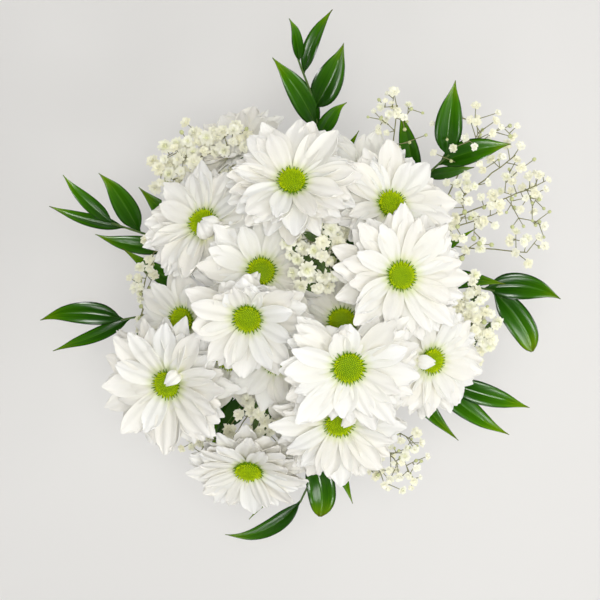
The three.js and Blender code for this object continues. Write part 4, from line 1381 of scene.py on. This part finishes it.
def fibrous(name, sizes, detail, stops, relief, roughness):
    """A skin of fibres: noise drawn out along the piece, which colours it and stands out on it.
    Object coordinates are in metres, so each size in millimetres is turned to cells in a metre."""
    m = new_material(name)
    place = add_node(m, "TexCoord")
    scale = [1000 / size for size in sizes]
    stretch = add_node(m, "Mapping", {}, {"Vector": (place, "Object"), "Scale": scale})
    fibres = add_node(m, "TexNoise", {}, {"Vector": (stretch, 0), "Scale": 1, "Detail": detail})
    colour = add_node(m, "ValToRGB", {}, {"Fac": (fibres, 0)}, stops)
    bump = add_node(m, "Bump", {}, {"Height": (fibres, 0), "Strength": relief, "Distance": 0.0003})
    return dress(m, {"Base Color": (colour, 0), "Normal": (bump, 0), "Roughness": roughness})


def green_stem(name, dark, light, roughness):
    """A fresh stem: matt green skin with fine ribs along it and paler streaks."""
    return fibrous(name, (RIB_W, RIB_W, RIB_L), 3, [(0.3, dark), (0.7, light)], 0.3, roughness)


def raffia():
    """Raffia: dry, straw-coloured palm fibre in flat strands, with darker fibres along them."""
    stops = [(0.3, "#A8854E"), (0.5, "#C9AC77"), (0.7, "#DDC698")]
    return fibrous("dry_raffia", (FIBRE_L, FIBRE_L, FIBRE_W), 4, stops, 0.5, 0.75)


def daisy_leaf():
    """A daisy's own leaf: soft, matt dark green, with a paler midrib. Between the blooms, its dark
    green is partly painted shade in the gaps.
    """
    m = new_material("daisy_leaf")
    across = add_node(m, "Attribute", {"attribute_name": "across"})
    edge = add_node(m, "Math", {"operation": "ABSOLUTE"}, {0: (across, "Fac")})
    colour = add_node(m, "ValToRGB", {}, {"Fac": (edge, 0)},
        [(0.0, "#6C8A40"), (0.07, "#2A5210"), (1.0, "#234A0C")])
    return dress(m, {"Base Color": (colour, 0), "Roughness": 0.6, "Specular IOR Level": 0.3})


def cut_pith():
    """The cut end of a stem: pale, moist and fibrous."""
    m = new_material("cut_pith")
    place = add_node(m, "TexCoord")
    fibres = add_node(m, "TexNoise", {}, {"Vector": (place, "Object"), "Scale": 1000 / PITH_W, "Detail": 2})
    colour = add_node(m, "ValToRGB", {}, {"Fac": (fibres, 0)}, [(0.3, "#B9C08A"), (0.7, "#E0E2BE")])
    return dress(m, {"Base Color": (colour, 0), "Roughness": 0.45})


def glossy_leaf():
    """A ruscus leaf: smooth and waxy, dark green and yellower to the tip, with parallel veins
    from base to tip, a lighter midrib, a little darker about a third of the way out to the edge, and
    a thin dark edge that is painted shade where the edge curls down."""
    m = new_material("waxy_ruscus_leaf")
    along, across, tone = [add_node(m, "Attribute", {"attribute_name": name}) for name in SHEET_NUMBERS]
    place = add_node(m, "CombineXYZ", {}, {0: (across, "Fac"), 1: (along, "Fac"), 2: (tone, "Fac")})
    stretch = add_node(m, "Mapping", {}, {"Vector": (place, 0), "Scale": (LEAF_W / 2 / VEIN_W, 1.35, 45)})
    veins = add_node(m, "TexNoise", {}, {"Vector": (stretch, 0), "Scale": 1, "Detail": 3})
    drift = add_node(m, "Math", {"operation": "MULTIPLY_ADD"}, {0: (veins, 0), 1: 0.5, 2: -0.25})
    ripeness = add_node(m, "Math", {"operation": "ADD"}, {0: (along, "Fac"), 1: (drift, 0)})
    green = add_node(m, "ValToRGB", {}, {"Fac": (ripeness, 0)},
        [(0.0, "#1A4800"), (0.35, "#2C6200"), (0.72, "#468200"), (0.93, "#7CA400"), (1.0, "#6E6A1C")])
    edge = add_node(m, "Math", {"operation": "ABSOLUTE"}, {0: (across, "Fac")})
    midrib = add_node(m, "ValToRGB", {}, {"Fac": (edge, 0)}, [(0.0, "#7E9E30"), (0.04, "#000000")])
    veined = add_node(m, "Mix", {"data_type": "RGBA", "blend_type": "ADD"},
        {0: 0.22, 6: (green, 0), 7: (midrib, 0)})
    each = add_node(m, "ValToRGB", {}, {"Fac": (tone, "Fac")}, [(0.0, "#D0D8D0"), (1.0, "#FFFFFF")])
    shade = add_node(m, "Mix", MULTIPLY, {0: 1.0, 6: (veined, 2), 7: (each, 0)})
    # Painted shade: the thin edge, where the leaf curls down, is darkened. The leaf is also a little darker
    # about a third of the way out from the midrib.
    rim = add_node(m, "ValToRGB", {}, {"Fac": (edge, 0)},
        [(0.0, "#FFFFFF"), (0.3, "#E4EAE0"), (0.8, "#FFFFFF"), (1.0, "#7C8A70")])
    colour = add_node(m, "Mix", MULTIPLY, {0: 1.0, 6: (shade, 2), 7: (rim, 0)})
    bump = add_node(m, "Bump", {}, {"Height": (veins, 0), "Strength": 0.14, "Distance": 0.0004})
    return dress(m, {"Base Color": (colour, 2), "Normal": (bump, 0), "Roughness": 0.2,
        "Specular IOR Level": 0.5, **glow(0.08, (0.3, 1.0, 0.1), 0.001)})


def gypsophila_petal():
    """Tiny double flowers: matt cream, a little greener in the middle and darker in some."""
    m = new_material("gypsophila_petal")
    tone = add_node(m, "Attribute", {"attribute_name": "tone"})
    colour = add_node(m, "ValToRGB", {}, {"Fac": (tone, "Fac")},
        [(0.0, "#FBF8DC"), (0.6, "#FEFDEC"), (0.95, "#EFF1C6"), (1.0, "#CDD39A")])
    return dress(m, {"Base Color": (colour, 0), "Roughness": 0.6, **glow(0.15, (1.0, 0.95, 0.7), 0.001)})


def pale_floor():
    """The floor: plain pale matt board."""
    return dress(new_material("pale_board"), {"Base Color": linear("#ECEAE7"), "Roughness": 0.8})


# The bunch

petal, florets, pith = fresh_petal(), eye_florets(), cut_pith()
for bloom in BLOOMS:
    make_petals(bloom, petal)
    make_eye(bloom, florets)
stem_skin = green_stem("daisy_stem_skin", "#5F7F35", "#86A255", 0.55)
cup_skin = green_stem("cup_scale", "#4F7A2C", "#7FA14A", 0.6)
stem_materials = [stem_skin, pith, cup_skin, daisy_leaf()]
for k, (slot, blooms) in enumerate(SPRAYS):
    make_daisy_stem(k, slot, blooms, stem_materials)
sprig_materials = [glossy_leaf(), green_stem("ruscus_stem_skin", "#3E5A22", "#5E7A34", 0.45), pith]
for k, sprig in enumerate(SPRIGS):
    make_ruscus(k, *sprig, sprig_materials)
veil_skin = green_stem("gypsophila_stem_skin", "#77784A", "#9A9A68", 0.65)
# The narrow leaves put in the clouds' gaps are dark green: partly their own colour, partly painted shade.
bract = green_stem("gypsophila_leaf", "#2A4208", "#466214", 0.6)
veil_materials = [gypsophila_petal(), veil_skin, pith, bract]
broad_pieces = ("petals", "eye", "stem", "ruscus_sprig")
others = surfaces_of([piece for piece in bpy.context.scene.objects if piece.name.startswith(broad_pieces)])
for k, veil in enumerate(VEILS):
    make_gypsophila(k, veil, veil_materials, others)
make_tie(raffia())


# Floor, light and camera, in metres

def stand_floor():
    bm = new_mesh()
    bmesh.ops.create_grid(bm, x_segments=1, y_segments=1, size=4)
    mesh = to_mesh("floor", bm)
    mesh.materials.append(pale_floor())
    floor = place_object("floor", mesh)
    floor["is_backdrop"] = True


def area_light(name, place, size, power, mirrored=True, lighting=True, spread=180):
    """A round soft white light aimed at the flowers. One that isn't mirrored gives no highlights,
    and one that isn't lighting gives nothing else."""
    light = bpy.data.lights.new(name, "AREA")
    light.shape = "DISK"
    light.size = size
    light.spread = radians(spread)
    light.energy = power
    lamp = place_object(name, light)
    lamp.location = place
    lamp.rotation_euler = (Vector((0, 0, 0.2)) - Vector(place)).to_track_quat("-Z", "Y").to_euler()
    lamp.visible_glossy = mirrored
    lamp.visible_diffuse = lighting


def camera_above():
    """The photo's view: straight down, from about 0.9 metres above the flowers."""
    camera = bpy.data.cameras.new("camera")
    camera.sensor_width = 36
    camera.lens = 103.85
    camera.clip_start = 0.05
    camera.clip_end = 30
    stand = place_object("camera", camera)
    stand.location = (0, 0, 1.17)
    bpy.context.scene.camera = stand


def pale_world():
    """Even white light from all sides, which gives no highlights."""
    world = bpy.data.worlds.new("studio")
    world.use_nodes = True
    sky = world.node_tree.nodes["Background"]
    sky.inputs["Color"].default_value = linear("#FFFFFF")
    sky.inputs["Strength"].default_value = 0.38
    world.cycles_visibility.glossy = False
    bpy.context.scene.world = world


stand_floor()
area_light("window", (1.1, -0.35, 1.2), 0.6, 5.7)
area_light("overhead", (0.02, -0.03, 2.0), 0.5, 1.5, spread=60)
area_light("front", (0.1, -0.91, 1.56), 0.28, 3)
area_light("left_low", (-1.32, -0.59, 0.93), 0.25, 5, lighting=False)
area_light("back_fill", (0.5, 1.5, 1.3), 1.5, 5.5, mirrored=False)
pale_world()
camera_above()
bpy.context.scene.view_settings.view_transform = "Standard"

visual_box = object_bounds()
